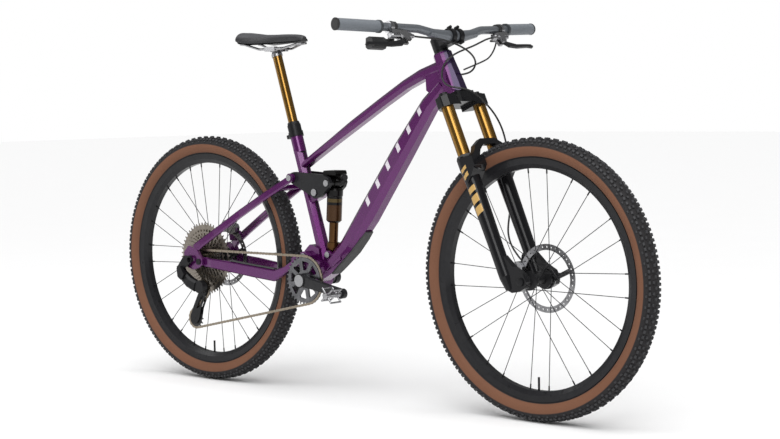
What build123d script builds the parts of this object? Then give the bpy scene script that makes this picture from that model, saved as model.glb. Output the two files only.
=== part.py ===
from build123d import *
from math import asin, atan2, cos, degrees, hypot, pi, radians, sin, tan
import os

# A full-suspension trail bike.  Millimetres; +X forward, +Y to the rider's left, +Z up.
# The origin is on the ground, midway between the two axles.

# ---------------------------------------------------------------- driving dimensions
TYRE_RADIUS = 370
TYRE_HALF_WIDTH = 30.5
WHEELBASE = 1236
AXLE_HEIGHT = TYRE_RADIUS
FRONT_AXLE_X = WHEELBASE / 2
REAR_AXLE_X = -WHEELBASE / 2
RIM_OUTER = 316
RIM_INNER = 288

HEAD_ANGLE = 66.5
FORK_OFFSET = 51
CROWN_OFFSET = 9
LEG_SPACING = 66
STANCHION_RADIUS = 17
LEG_TOP = 363
CROWN_BOTTOM = 505
CROWN_TOP = 545
SHOULDER_TOP = 534
HEAD_TUBE_LENGTH = 119
HEAD_TOP = CROWN_TOP + HEAD_TUBE_LENGTH
STEM_BOTTOM = HEAD_TOP + 9
STEM_TOP = STEM_BOTTOM + 35
STEM_LENGTH = 55
BAR_TIP_Y = 400

BB = (-174, 330)
SHELL_HALF_WIDTH = 36.5
CRANK_LENGTH = 170
CRANK_ANGLE = -9
CHAIN_PITCH = 12.7
RING_TEETH = 34
RING_Y = -53
COG_TEETH = (52, 42, 36, 32, 28, 24, 21, 18, 16, 14, 12, 10)
COG_STEP = 3.45
LARGEST_COG_Y = -28
ENGAGED_COG = 9
GUIDE_PULLEY_TEETH = 12
TENSION_PULLEY_TEETH = 14

SEAT_ANGLE = 72.7
SEAT_CLAMP_POINT = (-249, 739)
POST_RADIUS = 14
POST_OUTER_RADIUS = 15.8
SEAT_TUBE_RADIUS = 18.5
SEAT_TUBE_TOP = 12

MAIN_PIVOT = (-184, 394)
REAR_PIVOT = (-588, 365)
ROCKER_PIVOT = (-145, 580)
ROCKER_REAR = (-232, 620)
SHOCK_TOP = (-98, 607)
SHOCK_BOTTOM = (-112, 403)
LOOSE_PIVOT_CLEARANCE = 3.2

FRONT_DROPOUT_Y = 55
REAR_DROPOUT_Y = 74.3
FRONT_ROTOR_Y = 40
REAR_ROTOR_Y = 58
ROTOR_RADIUS = 90

FIT = 0.02
RUNNING = 0.05
GAP = 0.4
HOSE_RADIUS = 2.5
PORT = (331, 27.5, 905)


# ---------------------------------------------------------------- shared geometry
def steering_frame():
    """Plane with Z up the steering axis and X ahead, its origin level with the front axle."""
    lean = radians(HEAD_ANGLE)
    up = Vector(-cos(lean), 0, sin(lean))
    ahead = Vector(sin(lean), 0, cos(lean))
    foot = Vector(FRONT_AXLE_X, 0, AXLE_HEIGHT) - ahead * FORK_OFFSET
    return Plane(origin=foot, x_dir=ahead, z_dir=up)


STEER = steering_frame()


def steer_point(ahead, y, up):
    return STEER.from_local_coords(Vector(ahead, y, up))


def steer_plane(ahead, y, up):
    """Plane square to the steering axis with its origin at the given place."""
    return Plane(origin=steer_point(ahead, y, up), x_dir=STEER.x_dir, z_dir=STEER.z_dir)


def axle_plane(x, z, y=0):
    """Plane whose Z points along +Y, for what turns about a cross axle."""
    return Plane(origin=(x, y, z), x_dir=(1, 0, 0), z_dir=(0, 1, 0))


def seat_point(along):
    """Point on the seat tube's centre line, measured up from the seat clamp."""
    lean = radians(SEAT_ANGLE)
    x, z = SEAT_CLAMP_POINT
    return Vector(x - along * cos(lean), 0, z + along * sin(lean))


def seat_plane(along):
    lean = radians(SEAT_ANGLE)
    return Plane(
        origin=seat_point(along),
        x_dir=(sin(lean), 0, cos(lean)),
        z_dir=(-cos(lean), 0, sin(lean)),
    )


# ---------------------------------------------------------------- helpers used inside a BuildPart block
def plate(outline, low, high, corner=0.0, mode=Mode.ADD):
    """Flat plate with an outline in X and Z, between two Y positions."""
    with BuildSketch(Plane.XZ.offset(-high)) as profile:
        with BuildLine():
            Polyline(*outline, close=True)
        make_face()
        if corner:
            fillet(profile.vertices(), corner)
    extrude(profile.sketch, amount=high - low, mode=mode)


def cross_rod(x, z, low, high, radius, mode=Mode.ADD):
    """Round bar or bore along Y."""
    with BuildSketch(Plane.XZ.offset(-high)) as profile:
        with Locations((x, z)):
            Circle(radius)
    extrude(profile.sketch, amount=high - low, mode=mode)


def rod(start, end, radius, mode=Mode.ADD):
    """Round bar between two points."""
    run = Vector(*end) - Vector(*start)
    with BuildSketch(Plane(origin=start, z_dir=run)) as profile:
        Circle(radius)
    extrude(profile.sketch, amount=run.length, mode=mode)


def turned(outline, plane, mode=Mode.ADD):
    """Turned piece: the outline's points are (radius, height along the plane's Z)."""
    half = Plane(origin=plane.origin, x_dir=plane.x_dir, z_dir=plane.y_dir * -1)
    with BuildSketch(half) as profile:
        with BuildLine():
            Polyline(*outline, close=True)
        make_face()
    revolve(profile.sketch, axis=Axis(plane.origin, plane.z_dir), mode=mode)


def ring(plane, inner, outer, low, high, mode=Mode.ADD):
    """Plain ring or tube about the plane's Z."""
    turned([(inner, low), (outer, low), (outer, high), (inner, high)], plane, mode)


def faceted(stations, mode=Mode.ADD):
    """Eight-sided beam through stations of (x, y, z, slope, width, depth, facet)."""
    sections = []
    for x, y, z, slope, width, depth, facet in stations:
        lean = radians(slope)
        cut = Plane(origin=(x, y, z), x_dir=(0, 1, 0), z_dir=(cos(lean), 0, sin(lean)))
        with BuildSketch(cut) as section:
            Rectangle(width, depth)
            chamfer(section.vertices(), facet)
        sections.append(section.sketch)
    loft(sections, ruled=True, mode=mode)


def hose_path(points):
    """Straight runs joined by arcs, each as large as its two runs allow."""
    places = [Vector(*point) for point in points]
    radii = []
    for before, here, after in zip(places, places[1:], places[2:]):
        turn = (here - before).get_angle(after - here)
        shorter = min((here - before).length, (after - here).length)
        radii.append(0.45 * shorter / tan(radians(turn) / 2))
    return places, radii


def hose(points, radius):
    """Round hose swept along its route."""
    places, radii = hose_path(points)
    print("hose arc radii", [round(r) for r in radii])
    with BuildLine() as route:
        FilletPolyline(*places, radius=radii)
    line = route.line
    with BuildSketch(Plane(origin=line @ 0, z_dir=line % 0)) as profile:
        Circle(radius)
    sweep(profile.sketch, path=line)
    length = route.wires()[0].length
    print("hose length", round(length))


def write(piece, name):
    piece.part.label = name
    export_step(piece.part, f"parts/{name}.step")
    print(name, len(piece.part.solids()), round(piece.part.volume))


os.makedirs("parts", exist_ok=True)


# ---------------------------------------------------------------- wheels
def pitch_radius(teeth):
    return CHAIN_PITCH / (2 * sin(pi / teeth))


def wheel_rim(x):
    hub = axle_plane(x, AXLE_HEIGHT)
    with BuildPart() as rim:
        wall = [
            (RIM_INNER, -9),
            (RIM_INNER, 9),
            (RIM_INNER + 12, 16),
            (RIM_OUTER, 17.5),
            (RIM_OUTER, 14),
            (RIM_OUTER - 8, 14.5),
            (RIM_OUTER - 10, 5),
            (RIM_OUTER - 10, -5),
            (RIM_OUTER - 8, -14.5),
            (RIM_OUTER, -14),
            (RIM_OUTER, -17.5),
            (RIM_INNER + 12, -16),
        ]
        turned(wall, hub)
        cavity = [
            (RIM_INNER + 2, -8),
            (RIM_INNER + 2, 8),
            (RIM_INNER + 13, 13.5),
            (RIM_OUTER - 12.5, 5),
            (RIM_OUTER - 12.5, -5),
            (RIM_INNER + 13, -13.5),
        ]
        turned(cavity, hub, Mode.SUBTRACT)
    return rim


def wheel_tyre(x):
    """Casing on the rim's bead seats, with a thicker tread."""
    hub = axle_plane(x, AXLE_HEIGHT)
    half = Plane(origin=hub.origin, x_dir=hub.x_dir, z_dir=hub.y_dir * -1)
    crown = TYRE_RADIUS
    wide = TYRE_HALF_WIDTH
    with BuildPart() as tyre:
        with BuildSketch(half) as section:
            with BuildLine():
                Line((RIM_OUTER - 7.5, -13.8), (RIM_OUTER, -13.6))
                Spline(
                    (RIM_OUTER, -13.6),
                    (RIM_OUTER + 8, -24),
                    (RIM_OUTER + 27, -wide),
                    (crown - 9, -23),
                    (crown, 0),
                )
                Spline(
                    (crown, 0),
                    (crown - 9, 23),
                    (RIM_OUTER + 27, wide),
                    (RIM_OUTER + 8, 24),
                    (RIM_OUTER, 13.6),
                )
                Polyline(
                    (RIM_OUTER, 13.6),
                    (RIM_OUTER - 7.5, 13.8),
                    (RIM_OUTER - 7.5, 10.5),
                    (RIM_OUTER + 2, 10.5),
                )
                Spline(
                    (RIM_OUTER + 2, 10.5),
                    (RIM_OUTER + 11, 21),
                    (RIM_OUTER + 27, 27),
                    (crown - 15, 18),
                    (crown - 7, 0),
                )
                Spline(
                    (crown - 7, 0),
                    (crown - 15, -18),
                    (RIM_OUTER + 27, -27),
                    (RIM_OUTER + 11, -21),
                    (RIM_OUTER + 2, -10.5),
                )
                Polyline((RIM_OUTER + 2, -10.5), (RIM_OUTER - 7.5, -10.5), (RIM_OUTER - 7.5, -13.8))
            make_face()
        revolve(axis=Axis(hub.origin, hub.z_dir))
    return tyre


def wheel_spokes(x, count, flange_radius, left_y, right_y, hub_shell):
    """Laced spokes with their nipples, four families of equal number, and the valve."""
    hub = axle_plane(x, AXLE_HEIGHT)
    per_family = count // 4
    step = 360 / per_family
    rim_end = RIM_INNER - GAP
    with BuildPart(hub) as spokes:
        for side, flange in ((1, left_y), (-1, right_y)):
            for lead in (-1, 1):
                head = Vector(flange_radius, 0, side * flange + 2.6 * lead)
                reach = radians(lead * step * 1.15)
                foot = Vector(rim_end * cos(reach), rim_end * sin(reach), side * 3.0)
                run = foot - head
                lacing = Plane(origin=head, z_dir=run)
                offset = side * step / 4 + (0 if lead > 0 else step / 2)
                with PolarLocations(0, per_family, start_angle=offset):
                    with Locations(lacing.location):
                        Cylinder(1.0, run.length - 12, align=(Align.CENTER, Align.CENTER, Align.MIN))
                nipple = Plane(origin=head + run * (1 - 12 / run.length), z_dir=run)
                with PolarLocations(0, per_family, start_angle=offset):
                    with Locations(nipple.location):
                        Cylinder(2.0, 12, align=(Align.CENTER, Align.CENTER, Align.MIN))
        valve = Plane(origin=(0, RIM_INNER - GAP, 0), z_dir=(0, -1, 0))
        with Locations(valve.location):
            Cylinder(3.0, 34, align=(Align.CENTER, Align.CENTER, Align.MIN))
    with BuildPart() as trimmed:
        add(spokes.part)
        add(hub_shell, mode=Mode.SUBTRACT)
    return trimmed


def rotor(x, y):
    """Brake disc: braking band, slanted arms and a six-bolt centre."""
    disc = axle_plane(x, AXLE_HEIGHT, y)
    with BuildPart() as part:
        with BuildSketch(disc) as face:
            Circle(ROTOR_RADIUS)
            Circle(ROTOR_RADIUS - 16, mode=Mode.SUBTRACT)
            Circle(28)
            Circle(18, mode=Mode.SUBTRACT)
            with PolarLocations(0, 6):
                with BuildLine():
                    Polyline(
                        (20, -6),
                        (ROTOR_RADIUS - 10, -34),
                        (ROTOR_RADIUS - 4, -22),
                        (24, 6),
                        close=True,
                    )
                make_face()
            with PolarLocations(22.5, 6, start_angle=30):
                Circle(2.6, mode=Mode.SUBTRACT)
            with PolarLocations(ROTOR_RADIUS - 8, 36):
                Circle(2.2, mode=Mode.SUBTRACT)
        extrude(amount=0.9, both=True)
    return part


for name, x, rotor_y in (("front", FRONT_AXLE_X, FRONT_ROTOR_Y), ("rear", REAR_AXLE_X, REAR_ROTOR_Y)):
    write(wheel_rim(x), f"{name}_rim")
    write(wheel_tyre(x), f"{name}_tyre")
    write(rotor(x, rotor_y), f"{name}_rotor")

front_hub_plane = axle_plane(FRONT_AXLE_X, AXLE_HEIGHT)
with BuildPart() as front_hub:
    shell = [
        (7.5 + RUNNING, -FRONT_DROPOUT_Y + GAP),
        (11, -FRONT_DROPOUT_Y + GAP),
        (13, -43),
        (25, -38.5),
        (25, -31.5),
        (13, -27),
        (12, 0),
        (13, 20),
        (25, 23.5),
        (25, 30.5),
        (17.5, 33),
        (17.5, FRONT_DROPOUT_Y - 11.5),
        (11, FRONT_DROPOUT_Y - 9),
        (11, FRONT_DROPOUT_Y - GAP),
        (7.5 + RUNNING, FRONT_DROPOUT_Y - GAP),
    ]
    turned(shell, front_hub_plane)
    ring(front_hub_plane, 16, 27.5, 33.5, FRONT_ROTOR_Y - 0.9)
write(front_hub, "front_hub")

rear_hub_plane = axle_plane(REAR_AXLE_X, AXLE_HEIGHT)
FREEHUB_RADIUS = 16
with BuildPart() as rear_hub:
    shell = [
        (6 + RUNNING, LARGEST_COG_Y + 1.5),
        (19, LARGEST_COG_Y + 1.5),
        (27, -21),
        (27, -13),
        (16, -8),
        (14, 0),
        (15, 28),
        (26, 34),
        (26, 42),
        (19, 45),
        (17.5, REAR_ROTOR_Y + 3),
        (10, REAR_ROTOR_Y + 6),
        (10, REAR_DROPOUT_Y - GAP),
        (6 + RUNNING, REAR_DROPOUT_Y - GAP),
    ]
    turned(shell, rear_hub_plane)
    ring(rear_hub_plane, 16, 27.5, 48, REAR_ROTOR_Y - 0.9)
write(rear_hub, "rear_hub")
write(wheel_spokes(FRONT_AXLE_X, 24, 22, 27, 35, front_hub.part), "front_spokes")
write(wheel_spokes(REAR_AXLE_X, 28, 24, 38, 17, rear_hub.part), "rear_spokes")

# ---------------------------------------------------------------- cassette
cassette_plane = axle_plane(REAR_AXLE_X, AXLE_HEIGHT)


def cog_outline(teeth, tip, root):
    """Closed toothed outline with one flat-topped tooth for each link."""
    points = []
    for tooth in range(teeth):
        for share, radius in ((-0.25, root), (-0.1, tip), (0.1, tip), (0.25, root)):
            angle = 2 * pi * (tooth + share) / teeth
            points.append((radius * cos(angle), radius * sin(angle)))
    return points


def sprocket(plane, teeth, half_thickness, bore):
    """Toothed disc centred on the plane, with spokes between rim and hub when it is large."""
    pitch = pitch_radius(teeth)
    with BuildSketch(plane) as face:
        with BuildLine():
            Polyline(*cog_outline(teeth, pitch + 3.2, pitch - 3.8), close=True)
        make_face()
        Circle(bore, mode=Mode.SUBTRACT)
        window_outer = pitch - 9
        window_inner = bore + 6
        if window_outer - window_inner > 8:
            corners = [
                (window_inner, -0.25 * window_inner),
                (window_outer, -0.3 * window_outer),
                (window_outer, 0.3 * window_outer),
                (window_inner, 0.25 * window_inner),
            ]
            with PolarLocations(0, 8):
                with BuildLine():
                    Polyline(*corners, close=True)
                make_face(mode=Mode.SUBTRACT)
    extrude(face.sketch, amount=half_thickness, both=True)


with BuildPart() as cassette:
    for number, teeth in enumerate(COG_TEETH):
        cog_y = LARGEST_COG_Y - number * COG_STEP
        bore = FREEHUB_RADIUS if teeth > 12 else 13
        sprocket(axle_plane(REAR_AXLE_X, AXLE_HEIGHT, cog_y), teeth, 0.8, bore)
    last_y = LARGEST_COG_Y - (len(COG_TEETH) - 1) * COG_STEP
    body = [
        (6 + RUNNING, last_y - 0.8),
        (13, last_y - 0.8),
        (13, last_y + 1.5 * COG_STEP),
        (FREEHUB_RADIUS, last_y + 1.5 * COG_STEP),
        (FREEHUB_RADIUS, LARGEST_COG_Y + 0.8),
        (6 + RUNNING, LARGEST_COG_Y + 0.8),
    ]
    turned(body, cassette_plane)
write(cassette, "cassette")

# ---------------------------------------------------------------- fork
left_leg = steer_plane(CROWN_OFFSET, LEG_SPACING, 0)
with BuildPart() as stanchions:
    bore_radius = STANCHION_RADIUS - 2
    ring(left_leg, bore_radius, STANCHION_RADIUS, 200, SHOULDER_TOP - 1)
    mirror(about=Plane.XZ)
write(stanchions, "stanchions")

with BuildPart() as fork_crown:
    with BuildSketch(STEER.offset(CROWN_BOTTOM)) as crown_face:
        with BuildLine():
            Polyline(
                (-26, -30),
                (-18, -68),
                (-6, -88),
                (16, -91),
                (32, -78),
                (34, -50),
                (28, -20),
                (28, 20),
                (34, 50),
                (32, 78),
                (16, 91),
                (-6, 88),
                (-18, 68),
                (-26, 30),
                close=True,
            )
        make_face()
        fillet(crown_face.vertices(), 6)
    extrude(amount=CROWN_TOP - CROWN_BOTTOM)
    with BuildSketch(STEER.offset(CROWN_BOTTOM)):
        Rectangle(80, 64)
    extrude(amount=9, mode=Mode.SUBTRACT)
    with BuildSketch(STEER.offset(SHOULDER_TOP)):
        with Locations((0, 68), (0, -68)):
            Rectangle(100, 66)
    extrude(amount=30, mode=Mode.SUBTRACT)
    steerer = [
        (10, CROWN_BOTTOM + 12),
        (19.9, CROWN_BOTTOM + 12),
        (19.9, CROWN_TOP + 26),
        (14.3, CROWN_TOP + 60),
        (14.3, STEM_TOP - 2),
        (11.5, STEM_TOP - 2),
        (11.5, CROWN_TOP + 60),
        (10, CROWN_TOP + 26),
    ]
    turned(steerer, STEER)
    ring(STEER, 19, 27, CROWN_TOP, CROWN_TOP + 1.5)
    for side in (-1, 1):
        bore = steer_plane(CROWN_OFFSET, side * LEG_SPACING, 0)
        ring(bore, 0, STANCHION_RADIUS + FIT, CROWN_BOTTOM - 1, CROWN_TOP + 1, Mode.SUBTRACT)
write(fork_crown, "fork_crown")

with BuildPart() as steering_caps:
    for side in (-1, 1):
        cap = steer_plane(CROWN_OFFSET, side * LEG_SPACING, 0)
        turned(
            [
                (0, SHOULDER_TOP),
                (19, SHOULDER_TOP),
                (18, SHOULDER_TOP + 4),
                (13, SHOULDER_TOP + 5),
                (12, SHOULDER_TOP + 11),
                (0, SHOULDER_TOP + 11),
            ],
            cap,
        )
    ring(STEER, 14.3 + FIT, 19, HEAD_TOP + 4.5, STEM_BOTTOM - FIT)
    turned([(0, STEM_TOP + FIT), (17, STEM_TOP + FIT), (16, STEM_TOP + 5), (0, STEM_TOP + 5)], STEER)
write(steering_caps, "steering_caps")

LEG_TOP_RADIUS = 24
LEG_LOW_RADIUS = 19
LEG_BORE_BOTTOM = 62
with BuildPart() as fork_lowers:
    leg_outline = [
        (STANCHION_RADIUS + RUNNING, LEG_BORE_BOTTOM),
        (STANCHION_RADIUS + RUNNING, LEG_TOP),
        (LEG_TOP_RADIUS - 1, LEG_TOP),
        (LEG_TOP_RADIUS, LEG_TOP - 3),
        (LEG_TOP_RADIUS, LEG_TOP - 30),
        (LEG_TOP_RADIUS - 2, LEG_TOP - 45),
        (LEG_LOW_RADIUS, 110),
        (LEG_LOW_RADIUS, 30),
        (13, -6),
        (0, -8),
        (0, LEG_BORE_BOTTOM),
    ]
    turned(leg_outline, left_leg)
    dropout_plane = Plane(origin=STEER.origin, x_dir=STEER.x_dir, z_dir=(0, -1, 0))
    with BuildSketch(dropout_plane.offset(-FRONT_DROPOUT_Y - 19)) as dropout:
        with BuildLine():
            Polyline(
                (-2, 66),
                (26, 84),
                (44, 44),
                (66, 16),
                (68, -6),
                (58, -20),
                (38, -22),
                (14, -16),
                (2, -4),
                close=True,
            )
        make_face()
        fillet(dropout.vertices(), 4)
    extrude(amount=19)
    with BuildSketch(dropout_plane.offset(-LEG_SPACING - 26)):
        with BuildLine():
            Polyline((10, 290), (36, 312), (50, 326), (50, 352), (30, 358), (12, 358), close=True)
        make_face()
    extrude(amount=52)
    ring(left_leg, 0, STANCHION_RADIUS + RUNNING, LEG_BORE_BOTTOM, LEG_TOP + 1, Mode.SUBTRACT)
    ring(axle_plane(FRONT_AXLE_X, AXLE_HEIGHT), 0, 7.5 + FIT, 50, 80, Mode.SUBTRACT)
    mirror(about=Plane.XZ)
    front_view = Plane(origin=steer_point(34, 0, 0), x_dir=(0, 1, 0), z_dir=STEER.x_dir)
    with BuildSketch(front_view):
        with BuildLine():
            Polyline(
                (-89, 320),
                (-86, 342),
                (-60, 382),
                (-30, 399),
                (30, 399),
                (60, 382),
                (86, 342),
                (89, 320),
                (66, 316),
                (59, 344),
                (44, 368),
                (24, 383),
                (-24, 383),
                (-44, 368),
                (-59, 344),
                (-66, 316),
                close=True,
            )
        make_face()
    extrude(amount=15)
    with BuildSketch(dropout_plane.offset(-62)) as brake_mount:
        with BuildLine():
            Polyline((4, 98), (-12, 88), (-46, 30), (-40, 14), (-22, 30), (4, 40), close=True)
        make_face()
        fillet(brake_mount.vertices(), 3)
    extrude(amount=9.6)
    ring(left_leg, 0, STANCHION_RADIUS + RUNNING, LEG_BORE_BOTTOM, LEG_TOP + 1, Mode.SUBTRACT)
write(fork_lowers, "fork_lowers")

with BuildPart() as fork_wipers:
    turned(
        [
            (STANCHION_RADIUS + RUNNING, LEG_TOP + FIT),
            (LEG_TOP_RADIUS - 2, LEG_TOP + FIT),
            (LEG_TOP_RADIUS - 3, LEG_TOP + 4),
            (STANCHION_RADIUS + RUNNING, LEG_TOP + 6),
        ],
        left_leg,
    )
    mirror(about=Plane.XZ)
write(fork_wipers, "fork_wipers")

with BuildPart() as front_axle:
    turned(
        [(0, -79), (5, -79), (11, -78), (11, -74.5), (7.5, -74.5), (7.5, 74), (5, 76), (0, 76)],
        axle_plane(FRONT_AXLE_X, AXLE_HEIGHT),
    )
write(front_axle, "front_axle")


def caliper(centre, along, inner, outer, pad_y):
    """Brake caliper: two joined halves, inner and outer, with a slot for the disc."""
    face = Plane(origin=centre, x_dir=along, z_dir=(0, 1, 0))
    with BuildPart() as body:
        with BuildSketch(face.offset(pad_y - inner - centre[1])) as outline:
            with BuildLine():
                Polyline(
                    (-30, -8),
                    (-22, -16),
                    (22, -16),
                    (30, -8),
                    (30, 8),
                    (20, 17),
                    (-20, 17),
                    (-30, 8),
                    close=True,
                )
            make_face()
            fillet(outline.vertices(), 3)
        extrude(amount=inner + outer)
        with BuildSketch(face.offset(pad_y - 2.2 - centre[1])):
            with Locations((0, 10)):
                Rectangle(70, 36)
        extrude(amount=4.4, mode=Mode.SUBTRACT)
    return body


CALIPER_BACK = 80
CALIPER_UP = 45
front_caliper_centre = steer_point(FORK_OFFSET - CALIPER_BACK, FRONT_ROTOR_Y, CALIPER_UP)
disc_tangent = STEER.z_dir * CALIPER_BACK + STEER.x_dir * CALIPER_UP
front_caliper = caliper(tuple(front_caliper_centre), disc_tangent, 12, 12, FRONT_ROTOR_Y)
write(front_caliper, "front_caliper")

# ---------------------------------------------------------------- front frame
PIVOT_BOLT_RADIUS = 5
MAIN_AXLE_RADIUS = 7.5
FRAME_BOSS_HALF = 24
LOWER_EYE_HALF = 13
with BuildPart() as front_frame:
    with BuildSketch(STEER.offset(CROWN_TOP + 1.9)) as head_low:
        Rectangle(62, 58)
        chamfer(head_low.vertices(), 16)
    with BuildSketch(STEER.offset(CROWN_TOP + 30)) as head_lower:
        Rectangle(60, 54)
        chamfer(head_lower.vertices(), 15)
    with BuildSketch(STEER.offset(HEAD_TOP - 30)) as head_upper:
        Rectangle(50, 48)
        chamfer(head_upper.vertices(), 13)
    with BuildSketch(STEER.offset(HEAD_TOP)) as head_high:
        Rectangle(48, 47)
        chamfer(head_high.vertices(), 13)
    loft([head_low.sketch, head_lower.sketch, head_upper.sketch, head_high.sketch], ruled=True)
    down_tube = [
        (318, 0, 876, 50, 46, 40, 12),
        (262, 0, 824, 52, 50, 46, 13),
        (165, 0, 699, 52.7, 56, 56, 14),
        (30, 0, 519, 53, 60, 59, 15),
        (-44, 0, 428, 49, 60, 50, 15),
        (-112, 0, 367, 36, 64, 42, 14),
        (-160, 0, 340, 20, 70, 42, 12),
    ]
    faceted(down_tube)
    top_tube = [
        (308, 0, 924, 14, 44, 34, 10),
        (240, 0, 904, 20, 43, 30, 9),
        (180, 0, 878, 27, 41, 27, 9),
        (86, 0, 827.5, 29, 40, 26, 9),
        (-17, 0, 770, 29.5, 39, 25, 8),
        (-92, 0, 726.5, 30, 38, 21, 7),
        (-176, 0, 677.6, 31, 36, 20, 7),
        (-228, 0, 646, 31, 34, 20, 7),
    ]
    faceted(top_tube)
    plate([(262, 900), (264, 862), (290, 846), (330, 880), (315, 925)], -19, 19, 3)
    seat_tube = []
    for along, width in ((-44, 38), (-120, 38), (-250, 38), (-365, 40)):
        place = seat_point(along)
        seat_tube.append((place.X, 0, place.Z, SEAT_ANGLE, width, width, 11))
    faceted(seat_tube)
    ring(seat_plane(0), 0, SEAT_TUBE_RADIUS, -50, SEAT_TUBE_TOP)
    cross_rod(*BB, -SHELL_HALF_WIDTH, SHELL_HALF_WIDTH, 27)
    back_block = [(-200, 335), (-196, 384), (-203, 396), (-196, 412), (-176, 430), (-140, 420), (-130, 340)]
    plate(back_block, -29, 29, 2)
    shelf_block = [(-160, 345), (-150, 392), (-128, 384), (-92, 384), (-50, 424), (-56, 392), (-110, 354)]
    plate(shelf_block, -30, 30, 2)
    for side in (-1, 1):
        middle = side * (LOWER_EYE_HALF + 5)
        tab = [(-130, 380), (-126, 404), (-119, 414), (-105, 414), (-97, 404), (-88, 380)]
        plate(tab, middle - 3.5, middle + 3.5, 2)
    rocker_web = [(-190, 545), (-150, 562), (-130, 575), (-130, 588), (-146, 597), (-196, 625)]
    plate(rocker_web, -14, 14, 3)
    cross_rod(*ROCKER_PIVOT, -FRAME_BOSS_HALF, FRAME_BOSS_HALF, 13)
    # Bores, each the size of what goes into it.
    ring(STEER, 0, 22, CROWN_TOP - 1, HEAD_TOP + 1, Mode.SUBTRACT)
    ring(STEER, 0, 25 + FIT, CROWN_TOP - 1, CROWN_TOP + 22, Mode.SUBTRACT)
    ring(seat_plane(0), 0, POST_OUTER_RADIUS + FIT, -262, SEAT_TUBE_TOP + 1, Mode.SUBTRACT)
    cross_rod(*BB, -40, 40, 21, Mode.SUBTRACT)
    cross_rod(*MAIN_PIVOT, -60, 60, MAIN_AXLE_RADIUS + FIT, Mode.SUBTRACT)
    cross_rod(*ROCKER_PIVOT, -60, 60, PIVOT_BOLT_RADIUS + FIT, Mode.SUBTRACT)
    cross_rod(*SHOCK_BOTTOM, -40, 40, PIVOT_BOLT_RADIUS + FIT, Mode.SUBTRACT)
    cross_rod(*SHOCK_BOTTOM, -LOWER_EYE_HALF - 0.4, LOWER_EYE_HALF + 0.4, 15, Mode.SUBTRACT)
    for side in (-1, 1):
        low, high = sorted((side * (LOWER_EYE_HALF + 8.6), side * 46))
        cross_rod(*SHOCK_BOTTOM, low, high, 9.5, Mode.SUBTRACT)
        low, high = sorted((side * SHELL_HALF_WIDTH, side * 60))
        cross_rod(*BB, low, high, 25, Mode.SUBTRACT)
    for height in (0, 64):
        boss = Plane(
            origin=(70 + height * cos(radians(52.7)), 0, 571 + height * sin(radians(52.7))),
            x_dir=(0, 1, 0),
            z_dir=(-sin(radians(52.7)), 0, cos(radians(52.7))),
        )
        ring(boss, 0, 2.5, 8, 60, Mode.SUBTRACT)
write(front_frame, "front_frame")

with BuildPart() as frame_bearings:
    upper = [
        (14.3 + RUNNING, HEAD_TOP - 14),
        (22 - FIT, HEAD_TOP - 14),
        (22 - FIT, HEAD_TOP + FIT),
        (23, HEAD_TOP + FIT),
        (22, HEAD_TOP + 4),
        (14.3 + RUNNING, HEAD_TOP + 4),
    ]
    turned(upper, STEER)
    ring(STEER, 19.9 + RUNNING, 25, CROWN_TOP + 1.9, CROWN_TOP + 20)
    for side in (-1, 1):
        cup_plane = axle_plane(*BB) if side > 0 else Plane(
            origin=(BB[0], 0, BB[1]),
            x_dir=(1, 0, 0),
            z_dir=(0, -1, 0),
        )
        cup = [
            (15 + RUNNING, 20),
            (21 - FIT, 20),
            (21 - FIT, SHELL_HALF_WIDTH + FIT),
            (23.5, SHELL_HALF_WIDTH + FIT),
            (23.5, 44),
            (15 + RUNNING, 44),
        ]
        turned(cup, cup_plane)
write(frame_bearings, "frame_bearings")

with BuildPart() as seat_clamp:
    ring(seat_plane(0), SEAT_TUBE_RADIUS + FIT, 21.5, SEAT_TUBE_TOP - 15, SEAT_TUBE_TOP)
    lug = Plane(origin=seat_point(SEAT_TUBE_TOP), x_dir=(0, 1, 0), z_dir=seat_plane(0).z_dir)
    with BuildSketch(lug.offset(-13)):
        with Locations((0, 25)):
            Rectangle(18, 10)
    extrude(amount=11)
    ring(seat_plane(0), 0, SEAT_TUBE_RADIUS + FIT, -20, 20, Mode.SUBTRACT)
write(seat_clamp, "seat_clamp")

with BuildPart() as dropper_outer:
    ring(seat_plane(0), POST_RADIUS + RUNNING, POST_OUTER_RADIUS, -255, SEAT_TUBE_TOP + 2)
    collar = [
        (POST_RADIUS + RUNNING, SEAT_TUBE_TOP + 0.1),
        (19.5, SEAT_TUBE_TOP + 0.1),
        (19.5, 33),
        (18, 35),
        (17, 41),
        (POST_RADIUS + RUNNING, 41),
    ]
    turned(collar, seat_plane(0))
write(dropper_outer, "dropper_outer")

with BuildPart() as frame_pivot_bolts:
    cross_rod(*MAIN_PIVOT, -47.2, 47.2, MAIN_AXLE_RADIUS)
    cross_rod(*MAIN_PIVOT, -50, -47.2, 12)
    cross_rod(*MAIN_PIVOT, 47.2, 50, 12)
    cross_rod(*ROCKER_PIVOT, -38, 38, PIVOT_BOLT_RADIUS)
    cross_rod(*ROCKER_PIVOT, -41, -38, 10)
    cross_rod(*ROCKER_PIVOT, 38, 41, 10)
    cross_rod(*SHOCK_BOTTOM, -23, 23, PIVOT_BOLT_RADIUS)
    cross_rod(*SHOCK_BOTTOM, -26, -23, 8.5)
    cross_rod(*SHOCK_BOTTOM, 23, 26, 8.5)
write(frame_pivot_bolts, "frame_pivot_bolts")

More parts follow.
